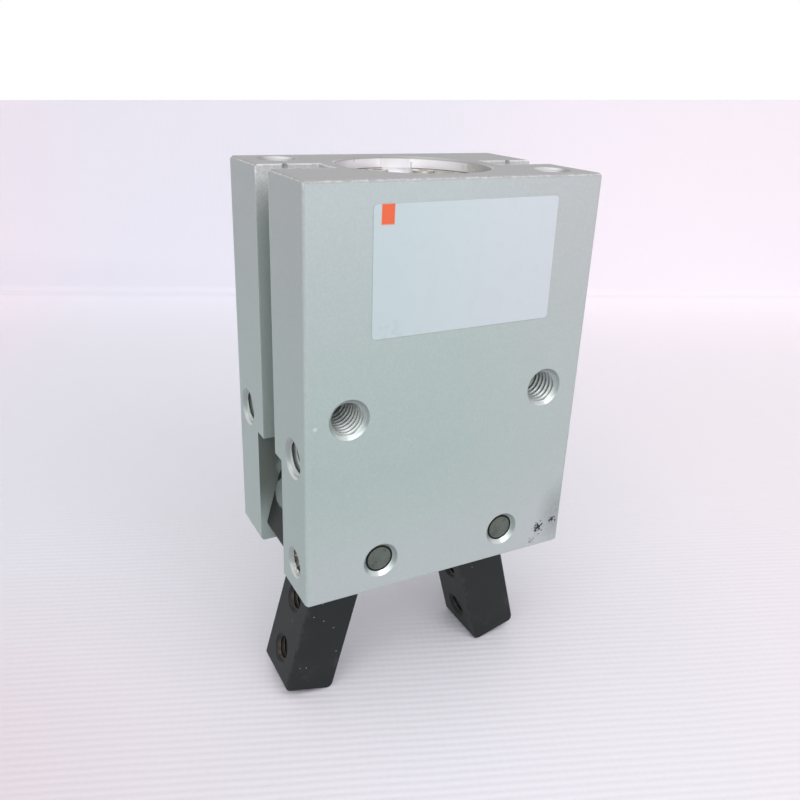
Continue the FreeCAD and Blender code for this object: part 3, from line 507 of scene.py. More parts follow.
def hollow_shading(wiring, x, y, z):
    """Mask of painted shade in the switch slots and the finger bay, where little light gets in: darker deeper
    in the slots and high in the bay, and lighter where a painted pool of light lies on the bay's wall.
    """
    side_y = wiring.unsigned(y)
    in_slot = wiring.below(side_y, SLOT_HALF + WALL_SLACK)
    in_slot = wiring.times(in_slot, wiring.above(wiring.unsigned(x), SLOT_FLOOR - HOLLOW_SLACK))
    in_slot = wiring.times(in_slot, wiring.ramp(z, -4.0, -0.4, 0.14, 0.05))
    in_bay = wiring.below(side_y, BAY_HALF + WALL_SLACK)
    in_bay = wiring.times(in_bay, wiring.below(z, HOLLOW_SLACK - SLOT_END))
    deep = wiring.ramp(z, -53.3, -45.5, 0.05, 1.0)
    # Less painted shade where a painted pool of light lies on the bay's wall
    light_patch = wiring.ramp(spot_distance(wiring, x, z, *BAY_LIGHT_PATCH), 0.6, 1.2)
    in_bay = wiring.times(in_bay, wiring.times(deep, wiring.blend(light_patch, 0.3, 0.8)))
    return wiring.most(in_slot, in_bay)


# Tones of the rest of the block
SIDE_DARK = (0.355, 0.46, 0.43)
SIDE_LIGHT = (0.395, 0.47, 0.45)
SIDE_UPPER = (0.385, 0.43, 0.43)
GRAIN_GLINT = (0.55, 0.63, 0.61)
# Painted shade in the slots and the bay
HOLLOW_SHADE = (0.10, 0.12, 0.10)
# Painted light on the upper slot walls near the opening
SLOT_TOP_LIGHT = (0.60, 0.61, 0.615)
BRIGHT_CHIP = (0.80, 0.83, 0.82)
# Painted reflection and shade on the recess's wall
RECESS_NEAR_SHADE = (0.46, 0.47, 0.455)
RECESS_FAR_HIGHLIGHT = (0.88, 0.87, 0.92)
RECESS_MIDDLE_SHADE = (0.66, 0.66, 0.68)
RECESS_LEFT_SHADE = (0.47, 0.47, 0.475)
RECESS_EDGE = (0.36, 0.36, 0.36)
STREAK_TONE = (0.24, 0.21, 0.18)
# Painted shade on the sides of the front countersinks that look away from the light
SHADED_MOUTH = (0.265, 0.32, 0.305)
RUBBED_EDGE = (0.80, 0.82, 0.82)
STAIN_TONE = (0.015, 0.018, 0.024)


def make_anodised_block():
    """Bead-blasted clear anodising with bare machined bores and mouths, worn edges, a few stains, and painted
    light and shade.
    """
    material, wiring, shader = new_finish("anodised_block")
    at = own_position(wiring)
    x, y, z = wiring.split(at)
    grain = grain_at(wiring, at, fineness=4.6, cloud_scale=0.05)
    upward, lit_wall_mouth, lit_top_mouth = countersink_lit_tones(wiring)
    front_holes, other_holes, recess = machined_places(wiring, x, y, z)
    inside = wiring.above(y, MOUTH_DEPTH - HALF_DEPTH)
    # Front countersinks show bare metal only deep inside and where the painted highlight falls on sides that
    # look up; their other sides get a painted shade
    bright = wiring.most(upward, inside)
    shaded_mouths = wiring.times(front_holes, wiring.minus(1.0, bright))
    front_holes = wiring.times(front_holes, bright)
    machined = wiring.most(front_holes, other_holes, recess)

    # Rubbed edges: the block's upper rim and the slot's upper edges most
    middle = wiring.vector("ADD", at, (0.0, 0.0, HEIGHT / 2))
    rim = edge_wear_at(wiring, middle, (HALF_WIDTH, HALF_DEPTH, HEIGHT / 2), reach=0.55, rag=0.9)
    slot_middle = (SLOT_FLOOR + HALF_WIDTH) / 2
    from_slot = wiring.minus(wiring.unsigned(x), slot_middle)
    slot_at = wiring.join(from_slot, y, wiring.plus(z, SLOT_END / 2))
    slot_half_size = (HALF_WIDTH - slot_middle, SLOT_HALF, SLOT_END / 2)
    slot_rim = edge_wear_at(wiring, slot_at, slot_half_size, reach=0.6, rag=1.2, rag_scale=2.2)
    near_top = wiring.ramp(z, -2.5, -0.3, 0.14, 0.6)
    slot_rim = wiring.times(slot_rim, wiring.ramp(z, -2.0, -0.3, 1.0, 1.5))
    wear = wiring.times(wiring.most(rim, slot_rim), near_top)

    # Blasted faces, the painted shade in the hollows between them, and painted light on the upper slot walls
    # near the opening, mottled by the grain
    sides = wiring.mix(grain["Cloud"], SIDE_DARK, SIDE_LIGHT)
    on_top = wiring.ramp(z, -0.45, -0.2)
    sides = wiring.mix(wiring.ramp(z, -30.0, 0.0, 0.0, 0.9), sides, SIDE_UPPER)
    on_front = wiring.below(y, FACE_SLACK - HALF_DEPTH)
    # Front face with its painted reflections of the surroundings
    sides = wiring.mix(on_front, sides, front_tone_and_reflection(wiring, x, z, grain["Cloud"]))
    # Top face in its grey tone, a painted reflection of the pale surroundings
    plain = wiring.mix(on_top, sides, TOP_REFLECTED_TONE)
    blasted = wiring.mix(wiring.ramp(grain["Height"], 0.35, 0.75, 0.0, 0.22), plain, GRAIN_GLINT)
    # Painted shade in the slots and the bay
    hollow_shade_mask = hollow_shading(wiring, x, y, z)
    blasted = wiring.mix(hollow_shade_mask, blasted, HOLLOW_SHADE)
    in_slot = wiring.below(wiring.unsigned(y), SLOT_HALF + WALL_SLACK)
    slot_top_light = wiring.times(wiring.ramp(z, -9.0, -0.6), wiring.ramp(grain["Height"], 0.3, 0.75, 0.45, 0.95))
    slot_top_light = wiring.times(slot_top_light, wiring.times(in_slot, wiring.below(z, -0.05)))
    blasted = wiring.mix(slot_top_light, blasted, SLOT_TOP_LIGHT)
    chip = wiring.ramp(spot_distance(wiring, x, z, *FRONT_CHIP), 0.2, 1.1, 0.42, 0.0)
    blasted = wiring.mix(wiring.times(chip, on_front), blasted, BRIGHT_CHIP)

    # Bare metal of the recess and the holes. The recess's wall carries a painted reflection, bright at the
    # back, with painted shade at the front, at the left end and in a band near the middle
    recess_lit_metal = wiring.mix(wiring.ramp(y, -3.0, 9.0), RECESS_NEAR_SHADE, RECESS_FAR_HIGHLIGHT)
    recess_lit_metal = wiring.mix(wiring.times(near_plane(wiring, x, *RECESS_SHADE_BAND), 0.7), recess_lit_metal, RECESS_MIDDLE_SHADE)
    recess_lit_metal = wiring.mix(wiring.ramp(x, -10.2, -3.5, 0.7, 0.0), recess_lit_metal, RECESS_LEFT_SHADE)
    recess_lit_metal = wiring.mix(wiring.ramp(z, -0.42, -0.25), recess_lit_metal, RECESS_EDGE)
    recess_lit_metal = wiring.mix(recess_streaks(wiring, x, y, z), recess_lit_metal, STREAK_TONE)
    # Countersinks in the block's tones, with their painted highlight and shade
    bare = wiring.mix(wiring.above(z, TOP_MOUNT_END), lit_wall_mouth, lit_top_mouth)
    bare = wiring.mix(recess, bare, recess_lit_metal)
    # Painted shade on the front countersinks' sides that look away from the light
    blasted = wiring.mix(shaded_mouths, blasted, SHADED_MOUTH)
    colour = wiring.mix(machined, blasted, bare)
    colour = wiring.mix(wear, colour, RUBBED_EDGE)
    colour = wiring.mix(front_stains(wiring, at, x, y, z), colour, STAIN_TONE)
    rough = wiring.blend(machined, wiring.blend(grain["Height"], 0.5, 0.68), 0.3)
    metal = wiring.blend(machined, 0.3, 0.55)
    relief = wiring.times(grain["Height"], wiring.blend(machined, 1.0, 0.15))
    set_look(wiring, shader, colour, relief, depth=0.035, rough=rough, metal=metal)
    return material


# Marks on the fingers: share of cells with a nick, and where the one painted patch of light, streaky like
# bare steel, is and reaches
NICK_SHARE = {"left": 0.34, "right": 0.1}
LIT_PATCH_FINGER = "left"
LIT_PATCH_START = 9.0
LIT_PATCH_SPOT = ((2.2, 1.9), (2.75, 2.0))

# Tones of the fingers
OXIDE_DARK = (0.0083, 0.0113, 0.0115)
OXIDE_LIGHT = (0.0155, 0.020, 0.020)
OXIDE_EDGE = (0.13, 0.135, 0.135)
FINGER_DUST = (0.20, 0.20, 0.20)
LIT_PATCH_DARK = (0.12, 0.15, 0.145)
LIT_PATCH_LIGHT = (0.29, 0.34, 0.325)
NICK_TONE = (0.55, 0.56, 0.56)


def make_black_finger(side):
    """Black oxide on milled steel: faint cutter marks, paler edges, dust, bright nicks and a painted patch of
    light.
    """
    material, wiring, shader = new_finish(f"black_steel_{side}", Metallic=0.1, Specular_IOR_Level=0.3)
    sign = SIDES[side]
    at = own_position(wiring, (PIVOT_X * sign, 0.0, PIVOT_Z), (0.0, OPEN_ANGLE * sign, 0.0))
    inward, y, w = wiring.split(at)
    u = wiring.times(inward, sign)
    grain = grain_at(wiring, at, fineness=7.0, cloud_scale=0.18)
    shank_at = wiring.join(u, y, wiring.plus(w, FINGER_LENGTH / 2))
    shank_half_size = (FINGER_HALF_WIDTH, FINGER_HALF_DEPTH, FINGER_LENGTH / 2)
    edge = edge_wear_at(wiring, shank_at, shank_half_size, reach=0.45, rag=1.0, rag_scale=1.1)
    nicks = specks_at(wiring, at, density=1.1, share=NICK_SHARE[side], radius=0.14)
    dust = grime_at(wiring, at, patch_scale=0.35, cover=0.35)
    dust = wiring.times(dust, 0.07)
    long_at = wiring.vector("MULTIPLY", at, (1.6, 1.0, 0.14))
    scratches = specks_at(wiring, long_at, density=0.9, share=0.3, radius=0.07)
    nicks = wiring.most(nicks, wiring.times(scratches, 0.5))
    streaks = wiring.noise(wiring.vector("MULTIPLY", at, (1.0, 1.0, 0.06)), 9.0, 2.0, 0.7)

    colour = wiring.mix(grain["Cloud"], OXIDE_DARK, OXIDE_LIGHT)
    colour = wiring.mix(wiring.times(edge, 0.28), colour, OXIDE_EDGE)
    colour = wiring.mix(dust, colour, FINGER_DUST)
    # Painted patch of light on the outer face of the left finger's head, streaky like bare steel
    if side == LIT_PATCH_FINGER:
        ragged = wiring.times(wiring.minus(wiring.noise(at, 1.4, 4.0, 0.65), 0.5), 0.45)
        away = wiring.plus(spot_distance(wiring, y, w, *LIT_PATCH_SPOT), ragged)
        worn_and_lit = wiring.times(wiring.ramp(away, 0.88, 1.06, 1.0, 0.0), wiring.above(u, LIT_PATCH_START))
        colour = wiring.mix(worn_and_lit, colour, wiring.mix(streaks, LIT_PATCH_DARK, LIT_PATCH_LIGHT))
    colour = wiring.mix(wiring.times(nicks, 0.6), colour, NICK_TONE)
    rough = wiring.blend(grain["Height"], 0.42, 0.58)
    relief = wiring.plus(wiring.times(streaks, 0.4), wiring.times(grain["Height"], 0.6))
    set_look(wiring, shader, colour, relief, depth=0.012, rough=rough)
    return material


def make_ground_steel(name, dark, light, centre, turn, pitch, smooth=0.3, oil=0.3, rim=None):
    """Ground or turned steel: rings of tool marks round an axis, light clouding and an oily film.

    Where a radius is given for a rim, painted shade makes the steel dark from there out.
    """
    material, wiring, shader = new_finish(name, Metallic=0.9)
    at = own_position(wiring, centre, turn)
    rings = wiring.group(TURNED_RINGS, {"Position": at, "Pitch": pitch, "Drift": 0.25})[0]
    grain = grain_at(wiring, at, fineness=9.0, cloud_scale=0.5)
    film = grime_at(wiring, at, patch_scale=0.8, cover=oil)
    share = wiring.blend(0.7, rings, grain["Cloud"])
    colour = wiring.mix(share, dark, light)
    colour = wiring.mix(wiring.times(film, 0.4), colour, tuple(0.45 * v for v in dark))
    if rim is not None:
        x, y, _ = wiring.split(at)
        radius = wiring.vector("LENGTH", wiring.join(x, y, 0.0))
        in_shaded_rim = wiring.ramp(radius, rim - 0.12, rim + 0.06)
        colour = wiring.mix(in_shaded_rim, colour, tuple(0.12 * v for v in dark))
    rough = wiring.blend(grain["Height"], smooth, smooth + 0.16)
    relief = wiring.blend(0.35, rings, grain["Height"])
    set_look(wiring, shader, colour, relief, depth=0.012, rough=rough)
    return material


# Tones of the retaining ring
RING_DARK = (0.42, 0.42, 0.40)
RING_LIGHT = (0.60, 0.60, 0.58)
AMBER_OIL = (0.33, 0.235, 0.12)
RING_OUTER_DARK = (0.10, 0.065, 0.03)


def make_stained_ring():
    """Spring steel ring with amber oil stains, and darker brown towards its outer border, where it meets the
    wall.
    """
    material, wiring, shader = new_finish("stained_ring", Metallic=0.8)
    at = own_position(wiring)
    grain = grain_at(wiring, at, fineness=8.0, cloud_scale=0.35)
    stain = grime_at(wiring, at, patch_scale=0.45, cover=0.55)
    colour = wiring.mix(grain["Cloud"], RING_DARK, RING_LIGHT)
    colour = wiring.mix(wiring.times(stain, 0.6), colour, AMBER_OIL)
    x, y, _ = wiring.split(at)
    radius = wiring.vector("LENGTH", wiring.join(x, y, 0.0))
    ragged = wiring.times(wiring.noise(at, 0.9, 4.0, 0.65), 0.9)
    outward = wiring.plus(radius, ragged)
    outer_dark = wiring.ramp(outward, PILOT_RADIUS - 0.25, PILOT_RADIUS + 0.15, 0.0, 0.9)
    colour = wiring.mix(outer_dark, colour, RING_OUTER_DARK)
    rough = wiring.blend(grain["Height"], 0.30, 0.46)
    set_look(wiring, shader, colour, grain["Height"], depth=0.01, rough=rough)
    return material


# Tones of the set screws
SCREW_DARK = (0.05, 0.05, 0.048)
SCREW_LIGHT = (0.11, 0.105, 0.10)
SCREW_OIL = (0.30, 0.22, 0.10)
SCREW_CHIPS = (0.72, 0.70, 0.66)


def make_dirty_screw():
    """Black set screw with metal chips and dried oil on it."""
    material, wiring, shader = new_finish("dirty_screw", Roughness=0.5)
    at = own_position(wiring)
    grain = grain_at(wiring, at, fineness=4.0, cloud_scale=0.8)
    chips = specks_at(wiring, at, density=2.4, share=0.5, radius=0.3)
    oil = grime_at(wiring, at, patch_scale=1.1, cover=0.6)
    colour = wiring.mix(grain["Cloud"], SCREW_DARK, SCREW_LIGHT)
    colour = wiring.mix(wiring.times(oil, 0.6), colour, SCREW_OIL)
    colour = wiring.mix(wiring.times(chips, 0.9), colour, SCREW_CHIPS)
    metal = wiring.blend(chips, 0.4, 0.9)
    set_look(wiring, shader, colour, grain["Height"], depth=0.05, metal=metal)
    return material


def make_moulded(name, dark, light, roughness, fineness, depth):
    """Rubber or plastic: a faint moulded grain and slow changes of shade."""
    material, wiring, shader = new_finish(name)
    at = own_position(wiring)
    grain = grain_at(wiring, at, fineness=fineness, cloud_scale=0.3)
    colour = wiring.mix(grain["Cloud"], dark, light)
    rough = wiring.blend(grain["Height"], roughness - 0.08, roughness + 0.08)
    set_look(wiring, shader, colour, grain["Height"], depth=depth, rough=rough)
    return material


# Tones of the breather filter
BRONZE_BEAD = (0.52, 0.36, 0.18)
BRONZE_PORE = (0.10, 0.06, 0.03)


def make_sintered_bronze():
    """Pressed bronze beads with dark pores between them."""
    material, wiring, shader = new_finish("sintered_bronze", Metallic=0.85)
    at = own_position(wiring)
    beads = wiring.put("ShaderNodeTexVoronoi", inputs={"Vector": at, "Scale": 4.0})
    pore = wiring.ramp(beads.outputs["Distance"], 0.35, 0.75)
    colour = wiring.mix(pore, BRONZE_BEAD, BRONZE_PORE)
    rough = wiring.blend(pore, 0.42, 0.8)
    set_look(wiring, shader, colour, wiring.minus(1.0, pore), depth=0.08, rough=rough)
    return material


def thread_root(wiring):
    """How deep in the thread a point lies, from 0 on the crests to 1 in the roots."""
    return wiring.put("ShaderNodeAttribute", {"attribute_name": THREAD_ROOT}).outputs["Fac"]


# Tones of the tapped holes in the block
THREAD_DARK = (0.39, 0.44, 0.425)
THREAD_LIGHT = (0.52, 0.57, 0.555)
TOP_THREAD = (0.50, 0.50, 0.505)
THREAD_ROOT_SHADE = (0.05, 0.06, 0.052)


def make_cut_thread():
    """Bare aluminium of a tapped hole, with painted shade in the roots of the thread, a little darker in
    patches of oil.
    """
    material, wiring, shader = new_finish("cut_thread", Metallic=0.55)
    at = own_position(wiring)
    grain = grain_at(wiring, at, fineness=6.0, cloud_scale=0.6)
    oil = grime_at(wiring, at, patch_scale=0.7, cover=0.35)
    x, y, z = wiring.split(at)
    colour = wiring.mix(grain["Cloud"], THREAD_DARK, THREAD_LIGHT)
    colour = wiring.mix(wiring.above(z, TOP_MOUNT_END), colour, TOP_THREAD)
    # Countersink mouths with their painted highlight and shade
    _, lit_wall_mouth, lit_top_mouth = countersink_lit_tones(wiring)
    at_front = wiring.ramp(y, MOUTH_END - HALF_DEPTH, MOUTH_FULL - HALF_DEPTH)
    at_side = wiring.ramp(x, MOUTH_END - HALF_WIDTH, MOUTH_FULL - HALF_WIDTH)
    colour = wiring.mix(wiring.most(at_front, at_side), colour, lit_wall_mouth)
    colour = wiring.mix(wiring.ramp(z, -MOUTH_END, -MOUTH_FULL), colour, lit_top_mouth)
    # Painted shade in the roots of the thread, a little darker where the oil patches lie
    darkening = wiring.times(thread_root(wiring), wiring.blend(oil, 0.85, 0.96))
    colour = wiring.mix(darkening, colour, THREAD_ROOT_SHADE)
    rough = wiring.blend(grain["Height"], 0.36, 0.5)
    set_look(wiring, shader, colour, grain["Height"], depth=0.01, rough=rough)
    return material


# Tones of the set screws' holes
DIRT_DARK = (0.16, 0.165, 0.15)
DIRT_LIGHT = (0.40, 0.41, 0.39)
DIRT_OIL = (0.09, 0.075, 0.045)
DIRT_CHIPS = (0.75, 0.73, 0.68)


def make_dirty_thread():
    """Tapped hole full of dried oil and metal chips."""
    material, wiring, shader = new_finish("dirty_thread", Roughness=0.45)
    at = own_position(wiring)
    grain = grain_at(wiring, at, fineness=3.5, cloud_scale=0.9)
    chips = specks_at(wiring, at, density=2.6, share=0.7, radius=0.34)
    oil = grime_at(wiring, at, patch_scale=1.2, cover=0.75)
    colour = wiring.mix(grain["Cloud"], DIRT_DARK, DIRT_LIGHT)
    colour = wiring.mix(wiring.times(oil, 0.8), colour, DIRT_OIL)
    colour = wiring.mix(wiring.times(chips, 0.85), colour, DIRT_CHIPS)
    side_x = wiring.unsigned(wiring.split(at)[0])
    mouth = wiring.ramp(side_x, HALF_WIDTH - MOUTH_END, HALF_WIDTH - MOUTH_FULL)
    # Countersink mouth with its painted highlight and shade
    colour = wiring.mix(wiring.times(mouth, 0.85), colour, countersink_lit_tones(wiring)[1])
    metal = wiring.blend(chips, 0.2, 0.7)
    set_look(wiring, shader, colour, grain["Height"], depth=0.06, metal=metal)
    return material


# Tones of the tapped holes in the fingers
BLACK_THREAD_DARK = (0.012, 0.012, 0.012)
BLACK_THREAD_LIGHT = (0.028, 0.026, 0.024)
WORN_CREST = (0.15, 0.12, 0.09)


def make_black_thread():
    """Tapped hole in a black finger: the finish is worn off the crests of the thread to brownish steel."""
    material, wiring, shader = new_finish("black_thread", Metallic=0.6)
    at = own_position(wiring)
    grain = grain_at(wiring, at, fineness=5.0, cloud_scale=0.9)
    patches = grime_at(wiring, at, patch_scale=0.8, cover=0.7)
    crest = wiring.minus(1.0, thread_root(wiring))
    worn_and_lit = wiring.times(crest, wiring.blend(patches, 0.02, 0.3))
    colour = wiring.mix(grain["Cloud"], BLACK_THREAD_DARK, BLACK_THREAD_LIGHT)
    colour = wiring.mix(worn_and_lit, colour, WORN_CREST)
    rough = wiring.blend(grain["Height"], 0.35, 0.5)
    set_look(wiring, shader, colour, grain["Height"], depth=0.01, rough=rough)
    return material


def finish_of(material, *names):
    """Gives CAD nodes their finish."""
    for name in names:
        mesh = nodes[name].data
        mesh.materials.clear()
        mesh.materials.append(material)


# Radius from which painted shade darkens the end of a pivot pin, where it sits back in its hole
PIN_SHADE_RADIUS = 1.78

# Axes that tool marks run round: a point on the axis, and the turn that lays the axis along Z
QUARTER_TURN = (math.pi / 2, 0.0, 0.0)
UPRIGHT = ((0.0, 0.0, 0.0), (0.0, 0.0, 0.0))
ROLLER_AXIS = ((0.0, 0.0, ROLLER_Z), QUARTER_TURN)


def dress_nodes():
    """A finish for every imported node: name, dark and light tone, and then what the finish asks for."""
    finish_of(make_anodised_block(), "body_block")
    for side, sign in SIDES.items():
        finish_of(make_black_finger(side), f"{side}_finger")
        pin_axis = ((PIVOT_X * sign, 0.0, PIVOT_Z), QUARTER_TURN)
        pin = make_ground_steel(f"{side}_pin_steel", (0.105, 0.127, 0.107), (0.175, 0.2, 0.175), *pin_axis,
                                pitch=0.42, smooth=0.34, oil=0.5, rim=PIN_SHADE_RADIUS)
        finish_of(pin, f"{side}_pivot_pin")
        needle = make_ground_steel(f"{side}_needle_steel", (0.42, 0.42, 0.41), (0.58, 0.58, 0.57), *pin_axis,
                                   pitch=0.3)
        finish_of(needle, f"{side}_needle_rollers")
    roller = make_ground_steel("roller_steel", (0.36, 0.365, 0.36), (0.55, 0.555, 0.55), *ROLLER_AXIS,
                               pitch=0.3)
    finish_of(roller, "left_side_roller", "right_side_roller", "centre_pin")
    turned = make_ground_steel("turned_aluminium", (0.70, 0.70, 0.69), (0.84, 0.84, 0.83), *UPRIGHT,
                               pitch=0.35, smooth=0.4, oil=0.2)
    finish_of(turned, "cylinder_cap", "piston")
    rod = make_ground_steel("rod_steel", (0.45, 0.45, 0.45), (0.62, 0.62, 0.62), *UPRIGHT,
                            pitch=0.5, smooth=0.16)
    finish_of(rod, "piston_rod")
    plated = make_ground_steel("plated_steel", (0.42, 0.42, 0.40), (0.56, 0.55, 0.52), *UPRIGHT, pitch=0.4)
    finish_of(plated, "rod_seal_cover", "piston_clip")
    finish_of(make_stained_ring(), "retaining_ring")
    finish_of(make_dirty_screw(), "pin_lock_screws")
    seal = make_moulded("seal_rubber", (0.012, 0.012, 0.013), (0.026, 0.026, 0.027),
                        roughness=0.55, fineness=5.0, depth=0.02)
    finish_of(seal, "cap_o_ring", "rod_seal", "piston_seal")
    bumper = make_moulded("bumper_urethane", (0.52, 0.40, 0.16), (0.62, 0.50, 0.22),
                          roughness=0.4, fineness=3.0, depth=0.02)
    finish_of(bumper, "end_bumper")
    magnet = make_moulded("bonded_magnet", (0.05, 0.047, 0.045), (0.09, 0.085, 0.08),
                          roughness=0.6, fineness=7.0, depth=0.03)
    finish_of(magnet, "magnet_ring")
    finish_of(make_sintered_bronze(), "vent_filter")


def grid_quads(rows, columns, wrap_rows, wrap_columns):
    """Corner numbers of the quads between neighbouring rows and columns of a grid of points."""
    index = np.arange(rows * columns).reshape(rows, columns)
    if wrap_rows:
        index = np.vstack([index, index[:1]])
    if wrap_columns:
        index = np.hstack([index, index[:, :1]])
    corners = [index[:-1, :-1], index[1:, :-1], index[1:, 1:], index[:-1, 1:]]
    return np.stack(corners, axis=-1).reshape(-1, 4)


def new_surface(name, points, material, wrap_rows=False, wrap_columns=False, sharp=35.0, root=None):
    """Object from a grid of points in millimetres. Points that meet are merged and the faces turned outwards.

    A grid of root values, where one is given, is kept as the point attribute that thread finishes read.
    """
    rows, columns = points.shape[:2]
    mesh = bpy.data.meshes.new(name)
    quads = grid_quads(rows, columns, wrap_rows, wrap_columns)
    mesh.from_pydata((points.reshape(-1, 3) * MM).tolist(), [], quads.tolist())
    if root is not None:
        kept = mesh.attributes.new(THREAD_ROOT, "FLOAT", "POINT")
        kept.data.foreach_set("value", np.ascontiguousarray(root, dtype=np.float32).ravel())
    build = bmesh.new()
    build.from_mesh(mesh)
    bmesh.ops.remove_doubles(build, verts=build.verts, dist=1e-7)
    bmesh.ops.dissolve_degenerate(build, edges=build.edges, dist=1e-8)
    bmesh.ops.recalc_face_normals(build, faces=build.faces)
    build.to_mesh(mesh)
    build.free()
    mesh.materials.append(material)
    mesh.shade_smooth()
    mesh.set_sharp_from_angle(angle=math.radians(sharp))
    piece = bpy.data.objects.new(name, mesh)
    bpy.context.scene.collection.objects.link(piece)
    return piece


def across(axis):
    """Two unit directions at right angles to an axis and to each other."""
    axis = np.asarray(axis, float)
    helper = np.array([0.0, 1.0, 0.0]) if abs(axis[1]) < 0.9 else np.array([1.0, 0.0, 0.0])
    first = np.cross(helper, axis)
    first /= np.linalg.norm(first)
    return first, np.cross(axis, first)


def make_thread(name, mouth, axis, radius, pitch, bevel, end, material, body, slot):
    """Tapped thread as a closed sleeve in its hole.

    At turn t and depth s the inner wall has the larger of two radii: the countersink's cone, and the hole's
    radius minus a rounded ridge, one cosine wave of (s / pitch - t) that fades out over the last half turn.
    The outer wall lies just within the metal round the hole.
    """
    steps_round = 48
    steps_per_turn = 10
    inset = 0.015
    overlap = 0.03
    turns = (end - bevel) / pitch
    depth = np.linspace(bevel, end, int(turns * steps_per_turn) + 1)
    turn = np.linspace(0.0, 1.0, steps_round, endpoint=False)
    phase = np.mod(depth[None, :] / pitch - turn[:, None], 1.0)
    ridge = 0.5 - 0.5 * np.cos(math.tau * phase)
    height = 0.5 * pitch
    half_turn = 0.5 * pitch
    fade = np.clip((end - depth) / half_turn, 0.0, 1.0)
    cone = radius - inset + bevel - depth
    inner = np.maximum(radius - inset - height * ridge * fade[None, :], cone[None, :])
    outer = np.full((steps_round, 2), radius + overlap)
    reach = np.concatenate([inner, outer], axis=1)
    root_start = radius - 0.55 * height
    root_span = 0.4 * height
    first_turn = 0.8 * pitch
    root = np.clip((reach - root_start) / root_span, 0.0, 1.0)
    root[:, :-2] *= np.clip((depth - bevel) / first_turn, 0.0, 1.0)
    level = np.concatenate([depth, [end, bevel]])
    first, second = across(axis)
    round_way = np.cos(math.tau * turn)[:, None] * first + np.sin(math.tau * turn)[:, None] * second
    points = (np.asarray(mouth, float) - np.asarray(axis, float) * level[None, :, None]
              + reach[:, :, None] * round_way[:, None, :])
    piece = new_surface(name, points, material, wrap_rows=True, wrap_columns=True, sharp=50.0, root=root)
    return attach(piece, body)


def finger_point(sign, u, w):
    """Point of a finger, given outwards and upwards from its pivot before it is opened."""
    x = PIVOT_X * sign + sign * (u * math.cos(OPEN_ANGLE) - w * math.sin(OPEN_ANGLE))
    z = PIVOT_Z + u * math.sin(OPEN_ANGLE) + w * math.cos(OPEN_ANGLE)
    return x, 0.0, z


def cut_threads():
    """Threads of every tapped hole."""
    bright = make_cut_thread()
    dark = make_black_thread()
    in_block = {"body": "housing", "slot": "anodised_block"}
    coarse = {"radius": 2.5, "pitch": 0.8, "bevel": 0.3, "material": bright, **in_block}
    fine = {"radius": 2.0, "pitch": 0.7}
    dirty = {**fine, "bevel": 0.25, "material": make_dirty_thread(), **in_block}
    for side, sign in SIDES.items():
        front = (SIDE_MOUNT_X * sign, -HALF_DEPTH, SIDE_MOUNT_Z)
        make_thread(f"{side}_front_thread", front, (0, -1, 0), end=7.9, **coarse)
        top = (TOP_MOUNT_X * sign, -TOP_MOUNT_Y * sign, 0.0)
        make_thread(f"{side}_top_thread", top, (0, 0, 1), end=9.8, **coarse)
        lock = (HALF_WIDTH * sign, PORT_Y * sign, PIVOT_Z)
        make_thread(f"{side}_lock_thread", lock, (sign, 0, 0), end=2.85, **dirty)
        outward = (sign * math.cos(OPEN_ANGLE), 0.0, math.sin(OPEN_ANGLE))
        in_finger = {**fine, "bevel": 0.3, "material": dark,
                     "body": f"{side}_finger_group", "slot": "black_steel"}
        for level, w in FINGER_HOLES.items():
            mouth = finger_point(sign, FINGER_HALF_WIDTH, w)
            make_thread(f"{side}_finger_{level}_thread", mouth, outward, end=7.7, **in_finger)
    make_thread("supply_port_thread", (-HALF_WIDTH, -PORT_Y, PORT_Z), (-1, 0, 0), end=6.4, **coarse)
    make_thread("vent_port_thread", (-HALF_WIDTH, PORT_Y, PORT_Z), (-1, 0, 0), end=4.4, **coarse)


# Sticker on the front face
LABEL_X = 0.85
LABEL_Z = -10.8
LABEL_HALF_WIDTH = 13.15
LABEL_HALF_HEIGHT = 8.1
LABEL_CORNER = 0.5
LABEL_THICKNESS = 0.09
LABEL_TURN = math.radians(-0.5)

# Marks on the sticker, from its upper left corner: middle and half size of the block, and a dirty corner
BLOCK_ACROSS = (1.75, 0.95)
BLOCK_DOWN = (1.3, 1.4)
DIRTY_CORNER = ((0.0, 2 * LABEL_HALF_HEIGHT), (9.0, 3.5))

# Tones of the sticker
FILM_LEFT = (0.455, 0.56, 0.575)
FILM_RIGHT = (0.51, 0.567, 0.60)
FILM_ORANGE = (0.69, 0.114, 0.036)
FILM_DIRT = (0.30, 0.32, 0.33)
FILM_RIM = (0.85, 0.88, 0.9)


